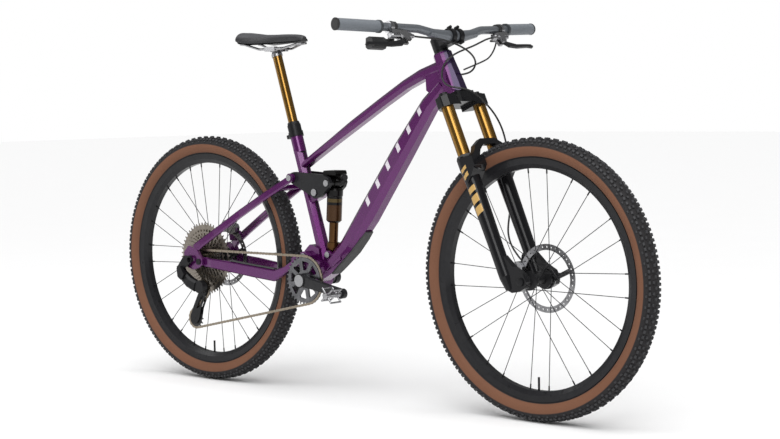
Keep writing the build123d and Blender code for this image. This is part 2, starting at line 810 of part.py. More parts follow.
GUARD_THICKNESS = 6
with BuildPart() as frame_guards:
    belly = []
    for x, z, slope, width, depth in (
        (8, 489, 53, 30, 57.5),
        (-10, 467, 52, 38, 55),
        (-44, 428, 49, 42, 50),
        (-84, 392, 41, 42, 45),
        (-112, 367, 36, 38, 42),
    ):
        lean = radians(slope)
        out = depth / 2
        belly.append((x + out * sin(lean), 0, z - out * cos(lean), slope, width, GUARD_THICKNESS, 2))
    faceted(belly)
    grommet = Plane(origin=(PORT[0] - 1, PORT[1] - 2, PORT[2]), x_dir=(1, 0, 0), z_dir=(0.25, 1, 0))
    with BuildSketch(grommet) as lip:
        SlotCenterToCenter(16, 13, rotation=110)
    extrude(lip.sketch, amount=6)
    add(front_frame.part, mode=Mode.SUBTRACT)
write(frame_guards, "frame_guards")

# ---------------------------------------------------------------- rear suspension
YOKE_INNER = 30
YOKE_OUTER = 46
with BuildPart() as chainstay:
    stay = [
        (MAIN_PIVOT[0], -38.5, MAIN_PIVOT[1], -20, 15, 34, 3),
        (-226, -40.5, 376, -30, 17, 38, 4),
        (-268, -44, 348, -28, 17, 36, 4),
        (-300, -46.5, 336, -6, 17, 34, 4),
        (-380, -54, 344, 6, 16, 34, 4),
        (-480, -63, 355, 7, 15, 32, 4),
        (-545, -69, 361, 5, 12, 28, 3),
        (-572, -70.6, 364, 4, 6.2, 26, 1.5),
    ]
    faceted(stay[::-1])
    cross_rod(*MAIN_PIVOT, -YOKE_OUTER, -YOKE_INNER, 17)
    cross_rod(*REAR_PIVOT, -73.7, -67.5, 13)
    plate([(-580, 352), (-580, 378), (-560, 378), (-560, 350)], -73.7, -67.5)
    bridge = [(-236, 372), (-238, 388), (-226, 398), (-210, 398), (-206, 384), (-212, 366)]
    plate(bridge, -42, 1, 2)
    cross_rod(*MAIN_PIVOT, -60, 0, MAIN_AXLE_RADIUS + RUNNING, Mode.SUBTRACT)
    cross_rod(*MAIN_PIVOT, -YOKE_INNER + 0.01, 0, 18.5, Mode.SUBTRACT)
    cross_rod(*REAR_PIVOT, -90, 0, PIVOT_BOLT_RADIUS + RUNNING, Mode.SUBTRACT)
    mirror(about=Plane.XZ)
write(chainstay, "chainstay")

with BuildPart() as chainstay_guard:
    top_cover = [
        (-470, -62, 372.7, 7, 12, 3.2, 1),
        (-380, -54, 363.2, 6, 13, 3.2, 1),
        (-300, -46.5, 355.5, -4, 14, 3.2, 1),
    ]
    faceted(top_cover)
write(chainstay_guard, "chainstay_guard")

DROPOUT_OUTER = 84
EYE_INNER = 38.4
EYE_OUTER = 50
with BuildPart() as seatstay:
    stay = [
        (ROCKER_REAR[0] + 2, -44.2, ROCKER_REAR[1] - 1, 28, 11.6, 20, 3),
        (-268, -46.5, 599, 28, 13, 21, 4),
        (-326, -52, 568, 28, 16, 21, 4),
        (-427, -59, 513, 29, 16, 22, 4),
        (-530, -69, 452, 31, 15, 22, 4),
        (-585, -75, 419, 33, 14, 24, 4),
        (-606, -79, 404, 33, 9.5, 26, 2),
    ]
    faceted(stay[::-1])
    cross_rod(*ROCKER_REAR, -EYE_OUTER, -EYE_INNER, 13)
    dropout = [
        (-596, 402),
        (-632, 412),
        (-652, 392),
        (-650, 366),
        (-636, 346),
        (-612, 340),
        (-590, 346),
        (-573, 356),
        (-573, 376),
        (-586, 386),
    ]
    plate(dropout, -DROPOUT_OUTER, -REAR_DROPOUT_Y, 5)
    cross_rod(REAR_AXLE_X, AXLE_HEIGHT, -90, 0, 6 + FIT, Mode.SUBTRACT)
    cross_rod(*REAR_PIVOT, -90, 0, PIVOT_BOLT_RADIUS + FIT, Mode.SUBTRACT)
    cross_rod(*ROCKER_REAR, -60, 0, PIVOT_BOLT_RADIUS + LOOSE_PIVOT_CLEARANCE, Mode.SUBTRACT)
    cross_rod(*ROCKER_REAR, -EYE_INNER + 0.01, 0, 30, Mode.SUBTRACT)
    plate([(-300, 579), (-298, 596), (-284, 598), (-281, 585)], -44, 1, 2)
    mirror(about=Plane.XZ)
    brake_mount = [(-608, 418), (-614, 450), (-604, 458), (-570, 448), (-562, 436), (-586, 418)]
    plate(brake_mount, REAR_ROTOR_Y + 5.9, REAR_DROPOUT_Y, 2)
write(seatstay, "seatstay")

with BuildPart() as rear_axle:
    cross_rod(REAR_AXLE_X, AXLE_HEIGHT, -DROPOUT_OUTER, DROPOUT_OUTER, 6)
    cross_rod(REAR_AXLE_X, AXLE_HEIGHT, DROPOUT_OUTER, DROPOUT_OUTER + 4, 11)
    for side in (-1, 1):
        low, high = sorted((side * 67.6, side * DROPOUT_OUTER))
        cross_rod(*REAR_PIVOT, low, high, PIVOT_BOLT_RADIUS)
        low, high = sorted((side * DROPOUT_OUTER, side * (DROPOUT_OUTER + 3)))
        cross_rod(*REAR_PIVOT, low, high, 9)
write(rear_axle, "rear_axle")

REAR_CALIPER_ANGLE = 75
caliper_lean = radians(REAR_CALIPER_ANGLE)
caliper_x = REAR_AXLE_X + (ROTOR_RADIUS + 3) * cos(caliper_lean)
caliper_z = AXLE_HEIGHT + (ROTOR_RADIUS + 3) * sin(caliper_lean)
rear_tangent = Vector(sin(caliper_lean), 0, -cos(caliper_lean))
rear_caliper = caliper((caliper_x, REAR_ROTOR_Y, caliper_z), rear_tangent, 13, 5.8, REAR_ROTOR_Y)
write(rear_caliper, "rear_caliper")

ROCKER_INNER = 25
ROCKER_OUTER = 37
with BuildPart() as rocker:
    arm = [
        (-247, 622),
        (-238, 634),
        (-226, 637),
        (-150, 633),
        (-112, 630),
        (-92, 623),
        (-84, 608),
        (-90, 594),
        (-124, 566),
        (-146, 562),
        (-164, 572),
        (-240, 606),
    ]
    plate(arm, -ROCKER_OUTER, -ROCKER_INNER, 4)
    cross_rod(*ROCKER_REAR, -60, 0, PIVOT_BOLT_RADIUS + FIT, Mode.SUBTRACT)
    cross_rod(*ROCKER_PIVOT, -60, 0, PIVOT_BOLT_RADIUS + RUNNING, Mode.SUBTRACT)
    cross_rod(*SHOCK_TOP, -60, 0, PIVOT_BOLT_RADIUS + FIT, Mode.SUBTRACT)
    mirror(about=Plane.XZ)
write(rocker, "rocker")

with BuildPart() as rocker_bolts:
    cross_rod(*SHOCK_TOP, -ROCKER_OUTER, ROCKER_OUTER, PIVOT_BOLT_RADIUS)
    for side in (-1, 1):
        low, high = sorted((side * ROCKER_INNER, side * 51))
        cross_rod(*ROCKER_REAR, low, high, PIVOT_BOLT_RADIUS)
        low, high = sorted((side * 51, side * 54))
        cross_rod(*ROCKER_REAR, low, high, 9)
        low, high = sorted((side * ROCKER_OUTER, side * (ROCKER_OUTER + 3)))
        cross_rod(*SHOCK_TOP, low, high, 9)
write(rocker_bolts, "rocker_bolts")

# ---------------------------------------------------------------- shock
shock_run = Vector(SHOCK_TOP[0] - SHOCK_BOTTOM[0], 0, SHOCK_TOP[1] - SHOCK_BOTTOM[1])
SHOCK_PLANE = Plane(origin=(SHOCK_BOTTOM[0], 0, SHOCK_BOTTOM[1]), x_dir=(0, 1, 0), z_dir=shock_run)
SHAFT_RADIUS = 13
ADJUSTER_PLANE = Plane(
    origin=SHOCK_PLANE.from_local_coords(Vector(0, 0, 222)), x_dir=(0, 1, 0), z_dir=SHOCK_PLANE.y_dir * -1
)
with BuildPart() as shock_shaft:
    turned([(0, 8), (SHAFT_RADIUS, 12), (SHAFT_RADIUS, 124), (0, 124)], SHOCK_PLANE)
    turned([(0, 6), (17, 14), (19, 20), (19, 34), (0, 34)], SHOCK_PLANE)
    cross_rod(*SHOCK_BOTTOM, -LOWER_EYE_HALF, LOWER_EYE_HALF, 12)
    cross_rod(*SHOCK_BOTTOM, -40, 40, PIVOT_BOLT_RADIUS + RUNNING, Mode.SUBTRACT)
write(shock_shaft, "shock_shaft")

with BuildPart() as shock_can:
    can = [
        (SHAFT_RADIUS + RUNNING, 92),
        (17, 92),
        (22, 97),
        (22, 166),
        (23.5, 168),
        (23.5, 184),
        (18, 190),
        (0, 194),
        (0, 160),
        (SHAFT_RADIUS + RUNNING, 160),
    ]
    turned(can, SHOCK_PLANE)
    cross_rod(*SHOCK_TOP, -14, 14, 14)
    plate([(-122, 628), (-120, 642), (-76, 642), (-74, 630), (-86, 612), (-110, 612)], -10, 10)
    plate([(-124, 629), (-122, 642), (-76, 642), (-72, 629)], -23, 23, 4)
    cross_rod(*SHOCK_TOP, -ROCKER_INNER + GAP, ROCKER_INNER - GAP, 12)
    turned([(0, 8), (10, 8), (10, 30), (8, 33), (0, 33)], ADJUSTER_PLANE)
    turned([(0, 30), (5, 30), (5, 34), (0, 34)], ADJUSTER_PLANE)
    cross_rod(*SHOCK_TOP, -40, 40, PIVOT_BOLT_RADIUS + LOOSE_PIVOT_CLEARANCE, Mode.SUBTRACT)
write(shock_can, "shock_can")

with BuildPart() as shock_lever:
    turned([(0, 34.3), (9, 34.3), (9, 40), (0, 40)], ADJUSTER_PLANE)
    with BuildSketch(ADJUSTER_PLANE.offset(35)):
        with BuildLine():
            Polyline((-6, -4), (-21, -14), (-22, -20), (-16, -22), (4, -6), close=True)
        make_face()
    extrude(amount=4)
write(shock_lever, "shock_lever")

# ---------------------------------------------------------------- cranks and pedals
ARM_INNER_Y = -60
ARM_TIP_Y = -77
crank_lean = radians(CRANK_ANGLE)
pedal_x = BB[0] + CRANK_LENGTH * cos(crank_lean)
pedal_z = BB[1] + CRANK_LENGTH * sin(crank_lean)


def pedal_place(side):
    """X and Z of the pedal axle on the right (-1) or left (+1) side."""
    return BB[0] - side * (pedal_x - BB[0]), BB[1] - side * (pedal_z - BB[1])


def build_arm():
    """One crank arm with its spindle boss and pedal eye."""
    stations = []
    for share, y, width, depth in (
        (0.0, -67, 13, 36),
        (0.25, -69, 14, 31),
        (0.8, -76, 14, 28),
        (1.0, -77, 15, 27),
    ):
        x = BB[0] + CRANK_LENGTH * share * cos(crank_lean)
        z = BB[1] + CRANK_LENGTH * share * sin(crank_lean)
        stations.append((x, y, z, CRANK_ANGLE, width, depth, 3.5))
    faceted(stations)
    cross_rod(*BB, -76, ARM_INNER_Y, 20)
    cross_rod(pedal_x, pedal_z, ARM_TIP_Y - 7.5, ARM_TIP_Y + 7.5, 14)
    cross_rod(*BB, -80, -40, 14.95 + FIT, Mode.SUBTRACT)
    cross_rod(pedal_x, pedal_z, -90, -60, 7 + FIT, Mode.SUBTRACT)


with BuildPart() as right_arm:
    build_arm()
half_turn = Pos(BB[0], 0, BB[1]) * Rot(0, 180, 0) * Pos(-BB[0], 0, -BB[1])
left_arm = half_turn * mirror(right_arm.part, about=Plane.XZ)
with BuildPart() as crank_arms:
    add(right_arm.part)
    add(left_arm)
write(crank_arms, "crank_arms")

with BuildPart() as crank_axles:
    cross_rod(*BB, -75, 75, 14.95)
    cross_rod(*BB, -75, 75, 11, Mode.SUBTRACT)
    for side in (-1, 1):
        low, high = sorted((side * 76.2, side * 78.5))
        cross_rod(*BB, low, high, 17)
    for side in (-1, 1):
        x, z = pedal_place(side)
        low, high = sorted((side * 70, side * 86))
        cross_rod(x, z, low, high, 7)
        low, high = sorted((side * 86, side * 144))
        cross_rod(x, z, low, high, 4.5)
write(crank_axles, "crank_axles")

ring_plane = axle_plane(*BB, RING_Y)
with BuildPart() as chainring:
    pitch = pitch_radius(RING_TEETH)
    with BuildSketch(ring_plane) as face:
        with BuildLine():
            Polyline(*cog_outline(RING_TEETH, pitch + 3.2, pitch - 3.8), close=True)
        make_face()
        Circle(15 + FIT, mode=Mode.SUBTRACT)
    extrude(face.sketch, amount=0.9, both=True)
    with BuildSketch(ring_plane.offset(-3)) as band:
        Circle(pitch - 5)
        Circle(15 + FIT, mode=Mode.SUBTRACT)
    extrude(band.sketch, amount=6)
    with BuildSketch(mode=Mode.PRIVATE) as window:
        with BuildLine():
            Polyline((28, -3), (27, -8), (48, -16.5), (53, -15), (53, 9), (48, 10.5), (30, 2), close=True)
        make_face()
    with BuildSketch(ring_plane.offset(-10)) as windows:
        with PolarLocations(0, 8, start_angle=11):
            add(window.sketch)
    extrude(windows.sketch, amount=20, mode=Mode.SUBTRACT)
    ring(ring_plane, 15 + FIT, 21, -6.8, 8.5)
write(chainring, "chainring")


def build_pedal(x, z, side):
    """Open double-wing pedal: a sleeve with four cross bars held by thin arms at both ends."""
    near = 92
    far = 146
    outward = Plane(origin=(x, 0, z), x_dir=(1, 0, 0), z_dir=(0, side, 0))
    turned(
        [
            (4.5 + RUNNING, near),
            (9, near),
            (9, 104),
            (7.5, 108),
            (7.5, 136),
            (9, 139),
            (9, far),
            (6, far + 2),
            (0, far + 2),
            (0, 144.5),
            (4.5 + RUNNING, 144.5),
        ],
        outward,
    )
    for quarter in range(4):
        angle = radians(38 + 90 * quarter)
        reach = 25
        bar_x = x + reach * cos(angle)
        bar_z = z + reach * sin(angle)
        rod((bar_x, side * 99, bar_z), (bar_x, side * 139, bar_z), 2.6)
        for place in (100, 138):
            rod((x + 6 * cos(angle), side * place, z + 6 * sin(angle)), (bar_x, side * place, bar_z), 2.5)


for name, side in (("right", -1), ("left", 1)):
    with BuildPart() as pedal:
        build_pedal(*pedal_place(side), side)
    write(pedal, f"pedal_{name}")

# ---------------------------------------------------------------- derailleur and chain
COG_Y = LARGEST_COG_Y - ENGAGED_COG * COG_STEP
CAGE_PIVOT = (-588, 290)
GUIDE_PULLEY = (-596, 278)
TENSION_PULLEY = (-632, 190)

with BuildPart() as derailleur_body:
    hanger = axle_plane(REAR_AXLE_X, AXLE_HEIGHT)
    cross_rod(REAR_AXLE_X - 12, AXLE_HEIGHT - 1, -97, -DROPOUT_OUTER - FIT, 13)
    plate([(-640, 382), (-616, 382), (-606, 366), (-630, 350), (-656, 338), (-668, 350)], -97, -88, 4)
    arm_stations = [
        (-664, -90, 352, -62, 16, 26, 4),
        (-656, -88, 326, -50, 22, 30, 5),
        (-628, -84, 302, -38, 26, 34, 6),
        (-604, -80, 290, -20, 22, 34, 6),
    ]
    faceted(arm_stations)
    cross_rod(*CAGE_PIVOT, -88, -70, 19)
    plate([(-664, 344), (-650, 352), (-632, 326), (-644, 308), (-660, 318)], -106, -92, 4)
    cross_rod(*CAGE_PIVOT, -75, -60, 5 + RUNNING, Mode.SUBTRACT)
    cross_rod(REAR_AXLE_X, AXLE_HEIGHT, -120, -60, 8, Mode.SUBTRACT)
write(derailleur_body, "derailleur_body")


def cage_side(low, high):
    """One cage plate with windows round its two pulleys."""
    outline = [
        (-584, 306),
        (-572, 290),
        (-578, 272),
        (-604, 222),
        (-612, 190),
        (-626, 172),
        (-644, 176),
        (-650, 196),
        (-640, 220),
        (-612, 270),
        (-604, 300),
    ]
    plate(outline, low, high, 5)
    plate([(-603, 258), (-590, 262), (-610, 226), (-626, 218)], low - 1, high + 1, 2, Mode.SUBTRACT)


PULLEY_HALF = 0.9
CAGE_HALF = 4.6
with BuildPart() as derailleur_cage:
    cage_side(COG_Y - CAGE_HALF - 2, COG_Y - CAGE_HALF)
    cage_side(COG_Y + CAGE_HALF, COG_Y + CAGE_HALF + 2)
    for centre in (GUIDE_PULLEY, TENSION_PULLEY):
        cross_rod(*centre, COG_Y - CAGE_HALF - 2.5, COG_Y + CAGE_HALF + 2.5, 3)
    cross_rod(*CAGE_PIVOT, COG_Y - CAGE_HALF - 2, COG_Y - CAGE_HALF, 14)
    cross_rod(*CAGE_PIVOT, -75, COG_Y - CAGE_HALF - 1, 5)
write(derailleur_cage, "derailleur_cage")

for name, centre, teeth in (
    ("guide", GUIDE_PULLEY, GUIDE_PULLEY_TEETH),
    ("tension", TENSION_PULLEY, TENSION_PULLEY_TEETH),
):
    with BuildPart() as pulley:
        disc = axle_plane(*centre, COG_Y)
        sprocket(disc, teeth, PULLEY_HALF, 3 + RUNNING)
        ring(disc, 3 + RUNNING, 7, -CAGE_HALF + GAP, CAGE_HALF - GAP)
    write(pulley, f"{name}_pulley")


def tangent_run(start, start_turn, end, end_turn):
    """Ends of the line from one circle to the next; a turn of +1 is clockwise seen from the right."""
    (x0, z0, r0), (x1, z1, r1) = start, end
    gap = hypot(x1 - x0, z1 - z0)
    angle = atan2(z1 - z0, x1 - x0) - asin((start_turn * r0 - end_turn * r1) / gap)
    left = (-sin(angle), cos(angle))
    first = (x0 + start_turn * r0 * left[0], z0 + start_turn * r0 * left[1])
    last = (x1 + end_turn * r1 * left[0], z1 + end_turn * r1 * left[1])
    return first, last


CHAIN_CIRCLES = [
    ((*BB, pitch_radius(RING_TEETH)), 1, RING_Y),
    ((*TENSION_PULLEY, pitch_radius(TENSION_PULLEY_TEETH)), 1, COG_Y),
    ((*GUIDE_PULLEY, pitch_radius(GUIDE_PULLEY_TEETH)), -1, COG_Y),
    ((REAR_AXLE_X, AXLE_HEIGHT, pitch_radius(COG_TEETH[ENGAGED_COG])), 1, COG_Y),
]
CHAIN_HALF_HEIGHT = 3.9


def chain_strap(inner, outer):
    """Closed strap of link plates, between two distances from the chain's middle plane."""
    runs = []
    for here, after in zip(CHAIN_CIRCLES, CHAIN_CIRCLES[1:] + CHAIN_CIRCLES[:1]):
        runs.append((tangent_run(here[0], here[1], after[0], after[1]), here[2], after[2]))
    low, high = sorted((inner, outer))
    for (first, last), first_y, last_y in runs:
        slope = degrees(atan2(last[1] - first[1], last[0] - first[0]))
        middle = (low + high) / 2
        ends = []
        for (x, z), y in ((first, first_y), (last, last_y)):
            lean = radians(slope)
            cut = Plane(origin=(x, y + middle, z), x_dir=(0, 1, 0), z_dir=(cos(lean), 0, sin(lean)))
            with BuildSketch(cut) as end:
                Rectangle(high - low, 2 * CHAIN_HALF_HEIGHT)
            ends.append(end.sketch)
        loft(ends, ruled=True)
    for number, ((x, z, radius), turn, y) in enumerate(CHAIN_CIRCLES):
        arrive = runs[number - 1][0][1]
        leave = runs[number][0][0]
        start = degrees(atan2(arrive[1] - z, arrive[0] - x))
        stop = degrees(atan2(leave[1] - z, leave[0] - x))
        sweep_angle = (turn * (start - stop)) % 360
        half = Plane(
            origin=(x, y, z),
            x_dir=(cos(radians(start)), 0, sin(radians(start))),
            z_dir=(-sin(radians(start)), 0, cos(radians(start))),
        )
        with BuildSketch(half) as section:
            with Locations((radius, (low + high) / 2)):
                Rectangle(2 * CHAIN_HALF_HEIGHT, high - low)
        revolve(section.sketch, axis=Axis((x, y, z), (0, turn, 0)), revolution_arc=sweep_angle)


with BuildPart() as chain:
    chain_strap(1.2, 2.1)
    chain_strap(-2.1, -1.2)
write(chain, "chain")

# ---------------------------------------------------------------- cockpit
STEM_MIDDLE = (STEM_BOTTOM + STEM_TOP) / 2
BAR_CENTRE = steer_point(STEM_LENGTH, 0, STEM_MIDDLE)
BAR_CLAMP_RADIUS = 15.9
BAR_RADIUS = 11.1
RISE_START = (BAR_CENTRE.X, -42, BAR_CENTRE.Z)
GRIP_START = (BAR_CENTRE.X - 13, -130, BAR_CENTRE.Z + 18)
BAR_TIP = (BAR_CENTRE.X - 51, -BAR_TIP_Y, BAR_CENTRE.Z + 27)
bar_run = Vector(*BAR_TIP) - Vector(*GRIP_START)
GRIP_PLANE = Plane(origin=GRIP_START, x_dir=(1, 0, 0), z_dir=bar_run)
BAR_REACH = bar_run.length
GRIP_LENGTH = 134
GRIP_INNER = BAR_REACH - GRIP_LENGTH - 2

with BuildPart() as stem:
    turned([(14.3 + FIT, STEM_BOTTOM), (20, STEM_BOTTOM), (20, STEM_TOP), (14.3 + FIT, STEM_TOP)], STEER)
    neck = Plane(origin=steer_point(12, 0, STEM_MIDDLE), x_dir=(0, 1, 0), z_dir=STEER.x_dir)
    with BuildSketch(neck) as root:
        Rectangle(34, 32)
        chamfer(root.vertices(), 6)
    with BuildSketch(neck.offset(26)) as tip:
        Rectangle(44, 30)
        chamfer(tip.vertices(), 5)
    loft([root.sketch, tip.sketch])
    cross_rod(BAR_CENTRE.X, BAR_CENTRE.Z, -23, 23, 21)
    front_half = Plane(origin=BAR_CENTRE + STEER.x_dir * 1, x_dir=(0, 1, 0), z_dir=STEER.x_dir)
    with BuildSketch(front_half) as cut:
        Rectangle(80, 80)
    extrude(cut.sketch, amount=60, mode=Mode.SUBTRACT)
    cross_rod(BAR_CENTRE.X, BAR_CENTRE.Z, -40, 40, BAR_CLAMP_RADIUS + FIT, Mode.SUBTRACT)
    ring(STEER, 0, 14.3 + FIT, STEM_BOTTOM - 1, STEM_TOP + 1, Mode.SUBTRACT)
write(stem, "stem")

with BuildPart() as stem_faceplate:
    for y in (-15, 15):
        cross_rod(BAR_CENTRE.X, BAR_CENTRE.Z, y - 7, y + 7, 21)
    back_half = Plane(origin=BAR_CENTRE + STEER.x_dir * 2, x_dir=(0, 1, 0), z_dir=STEER.x_dir * -1)
    with BuildSketch(back_half) as cut:
        Rectangle(80, 80)
    extrude(cut.sketch, amount=60, mode=Mode.SUBTRACT)
    cross_rod(BAR_CENTRE.X, BAR_CENTRE.Z, -40, 40, BAR_CLAMP_RADIUS + FIT, Mode.SUBTRACT)
    for y in (-15, 15):
        for up in (-21.5, 21.5):
            bolt = Plane(
                origin=BAR_CENTRE + STEER.z_dir * up + Vector(0, y, 0),
                x_dir=(0, 1, 0),
                z_dir=STEER.x_dir,
            )
            turned([(0, 1.4), (4.2, 1.4), (4.2, 14), (0, 14)], bolt)
write(stem_faceplate, "stem_faceplate")

with BuildPart() as handlebar:
    with BuildLine() as centre_line:
        FilletPolyline((BAR_CENTRE.X, 0, BAR_CENTRE.Z), RISE_START, GRIP_START, BAR_TIP, radius=[60, 90])
    path = centre_line.line
    with BuildSketch(Plane(origin=path @ 0, z_dir=path % 0)) as tube:
        Circle(BAR_RADIUS)
    sweep(tube.sketch, path=path)
    cross_rod(BAR_CENTRE.X, BAR_CENTRE.Z, -34, 0, BAR_CLAMP_RADIUS)
    taper = Plane(origin=(BAR_CENTRE.X, -34, BAR_CENTRE.Z), x_dir=(1, 0, 0), z_dir=(-4, -60, 8))
    with BuildSketch(
        Plane(origin=(BAR_CENTRE.X, -34, BAR_CENTRE.Z), x_dir=(1, 0, 0), z_dir=(0, -1, 0)),
    ) as wide:
        Circle(BAR_CLAMP_RADIUS)
    with BuildSketch(taper.offset(62)) as narrow:
        Circle(BAR_RADIUS)
    loft([wide.sketch, narrow.sketch])
    mirror(about=Plane.XZ)
write(handlebar, "handlebar")

with BuildPart() as grips:
    ring(GRIP_PLANE, BAR_RADIUS + FIT, 15.5, GRIP_INNER, BAR_REACH - 2)
    ring(GRIP_PLANE, BAR_RADIUS + FIT, 17, GRIP_INNER - 8, GRIP_INNER - FIT)
    turned(
        [
            (0, BAR_REACH + FIT),
            (13, BAR_REACH + FIT),
            (16, BAR_REACH - 2 + FIT),
            (16.5, BAR_REACH + 2),
            (13, BAR_REACH + 4),
            (0, BAR_REACH + 4),
        ],
        GRIP_PLANE,
    )
    mirror(about=Plane.XZ)
write(grips, "grips")


CONTROL_TILT = 50
control_lean = radians(CONTROL_TILT)
CONTROL_PLANE = Plane(
    origin=GRIP_START,
    x_dir=GRIP_PLANE.x_dir * cos(control_lean) - GRIP_PLANE.y_dir * sin(control_lean),
    z_dir=bar_run,
)


def beside_bar(plane, ahead, up, along, side=-1):
    """Point beside the bar: ahead, above and along it, in a plane that turns about the bar."""
    place = plane.from_local_coords(Vector(ahead, up, along))
    return Vector(place.X, place.Y * -side, place.Z)


def on_grip(ahead, up, along, side=-1):
    return beside_bar(CONTROL_PLANE, ahead, up, along, side)


CLAMP_ALONG = 96
LEVER_PIVOT_ALONG = 62
LEVER_AHEAD = 42
LEVER_HALF = 3.2
MASTER_AHEAD = 28


def lever_plane(along=LEVER_PIVOT_ALONG, ahead=LEVER_AHEAD):
    return Plane(origin=on_grip(ahead, 0, along), x_dir=CONTROL_PLANE.x_dir, z_dir=CONTROL_PLANE.y_dir)


with BuildPart() as brake_masters:
    ring(GRIP_PLANE, BAR_RADIUS + FIT, 16, CLAMP_ALONG - 6, CLAMP_ALONG + 6)
    body = Plane(origin=on_grip(MASTER_AHEAD, 0, 30), x_dir=CONTROL_PLANE.x_dir, z_dir=GRIP_PLANE.z_dir)
    turned([(0, 0), (5, 0), (7, 8), (9, 12), (9, 74), (6, 78), (0, 78)], body)
    with BuildSketch(lever_plane(74, 22).offset(-11)):
        with BuildLine():
            Polyline((-6, -32), (-4, 20), (28, 20), (28, 4), (8, -8), (8, -34), close=True)
        make_face()
    extrude(amount=22)
    pivot = lever_plane()
    with BuildSketch(pivot.offset(-LEVER_HALF - 0.4)):
        with Locations((4.5, -16.5)):
            Rectangle(27, 67)
    extrude(amount=2 * LEVER_HALF + 0.8, mode=Mode.SUBTRACT)
    ring(GRIP_PLANE, 0, BAR_RADIUS + FIT, CLAMP_ALONG - 60, CLAMP_ALONG + 60, Mode.SUBTRACT)
    ring(pivot, 0, 2.5, -10.9, 10.9)
    mirror(about=Plane.XZ)
write(brake_masters, "brake_masters")

with BuildPart() as right_lever:
    pivot = lever_plane()
    with BuildSketch(pivot.offset(-LEVER_HALF)):
        with BuildLine():
            Polyline(
                (-4, -5),
                (6, -4),
                (20, -22),
                (25, -60),
                (24, -118),
                (27, -142),
                (22, -147),
                (16, -140),
                (15, -116),
                (14, -64),
                (4, -26),
                close=True,
            )
        make_face()
        Circle(7)
        Circle(2.5 + RUNNING, mode=Mode.SUBTRACT)
    extrude(amount=2 * LEVER_HALF)
write(right_lever, "brake_lever_right")
with BuildPart() as left_lever:
    add(mirror(right_lever.part, about=Plane.XZ))
write(left_lever, "brake_lever_left")

POD_ALONG = 84
POD_BODY_START = 112
with BuildPart() as bar_remotes:
    ring(GRIP_PLANE, BAR_RADIUS + FIT, 15, POD_ALONG - 4, POD_ALONG + 4)
    hanger = Plane(
        origin=beside_bar(GRIP_PLANE, 0, 0, POD_ALONG - 4),
        x_dir=GRIP_PLANE.x_dir,
        z_dir=GRIP_PLANE.z_dir,
    )
    with BuildSketch(hanger):
        with BuildLine():
            Polyline(
                (-12, -8),
                (-1, -12),
                (-1, -22),
                (2, -34),
                (-4, -42),
                (-16, -42),
                (-16, -28),
                close=True,
            )
        make_face()
    extrude(amount=8)
    with BuildSketch(hanger):
        with Locations((-8, -36)):
            Rectangle(14, 11)
    extrude(amount=POD_BODY_START + 2 - POD_ALONG + 4)
    pod = Plane(
        origin=beside_bar(GRIP_PLANE, 0, 0, POD_BODY_START),
        x_dir=GRIP_PLANE.x_dir,
        z_dir=GRIP_PLANE.z_dir,
    )
    with BuildSketch(pod) as pod_face:
        with BuildLine():
            Polyline(
                (-18, -30),
                (-4, -26),
                (8, -32),
                (12, -44),
                (6, -56),
                (-8, -60),
                (-18, -54),
                close=True,
            )
        make_face()
        fillet(pod_face.vertices(), 3)
    extrude(amount=48)
    left_grip = Plane(
        origin=(GRIP_PLANE.origin.X, -GRIP_PLANE.origin.Y, GRIP_PLANE.origin.Z),
        x_dir=(1, 0, 0),
        z_dir=(bar_run.X, -bar_run.Y, bar_run.Z),
    )
    ring(left_grip, BAR_RADIUS + FIT, 15, POD_ALONG - 4, POD_ALONG + 4)
    lug = Plane(origin=beside_bar(GRIP_PLANE, -8, -22, POD_ALONG, 1), x_dir=(1, 0, 0), z_dir=(0, 0, -1))
    with BuildSketch(lug.offset(-10)):
        Rectangle(15, 10)
    extrude(amount=14)
    ring(left_grip, 0, BAR_RADIUS + FIT, POD_ALONG - 40, POD_ALONG + 40, Mode.SUBTRACT)
write(bar_remotes, "bar_remotes")

PADDLE_PIVOT = beside_bar(GRIP_PLANE, -20.2, -43, POD_BODY_START + 24)
with BuildPart() as shift_paddle:
    paddle_plane = Plane(origin=PADDLE_PIVOT, x_dir=GRIP_PLANE.x_dir, z_dir=GRIP_PLANE.z_dir)
    with BuildSketch(paddle_plane.offset(-18)) as paddle_face:
        with BuildLine():
            Polyline((1, 12), (-3, 11), (-6, 0), (-3, -11), (1, -12), (0, 0), close=True)
        make_face()
    extrude(amount=36)
write(shift_paddle, "shift_paddle")

DROPPER_PIVOT = beside_bar(GRIP_PLANE, -8, -30, POD_ALONG, 1)
with BuildPart() as dropper_paddle:
    pivot = Plane(origin=DROPPER_PIVOT, x_dir=(1, 0, 0), z_dir=(0, 0, -1))
    with BuildSketch(pivot.offset(-3)) as paddle_face:
        with BuildLine():
            Polyline(
                (8, 5),
                (8, -6),
                (-14, -16),
                (-22, -44),
                (-34, -44),
                (-34, -30),
                (-22, -8),
                (-8, 5),
                close=True,
            )
        make_face()
        fillet(paddle_face.vertices(), 2)
    extrude(amount=5)
write(dropper_paddle, "dropper_paddle")

# ---------------------------------------------------------------- dropper post and saddle
POST_TOP = 252
with BuildPart() as dropper_post:
    turned([(0, -40), (POST_RADIUS, -40), (POST_RADIUS, POST_TOP - 12), (0, POST_TOP - 12)], seat_plane(0))
write(dropper_post, "dropper_post")

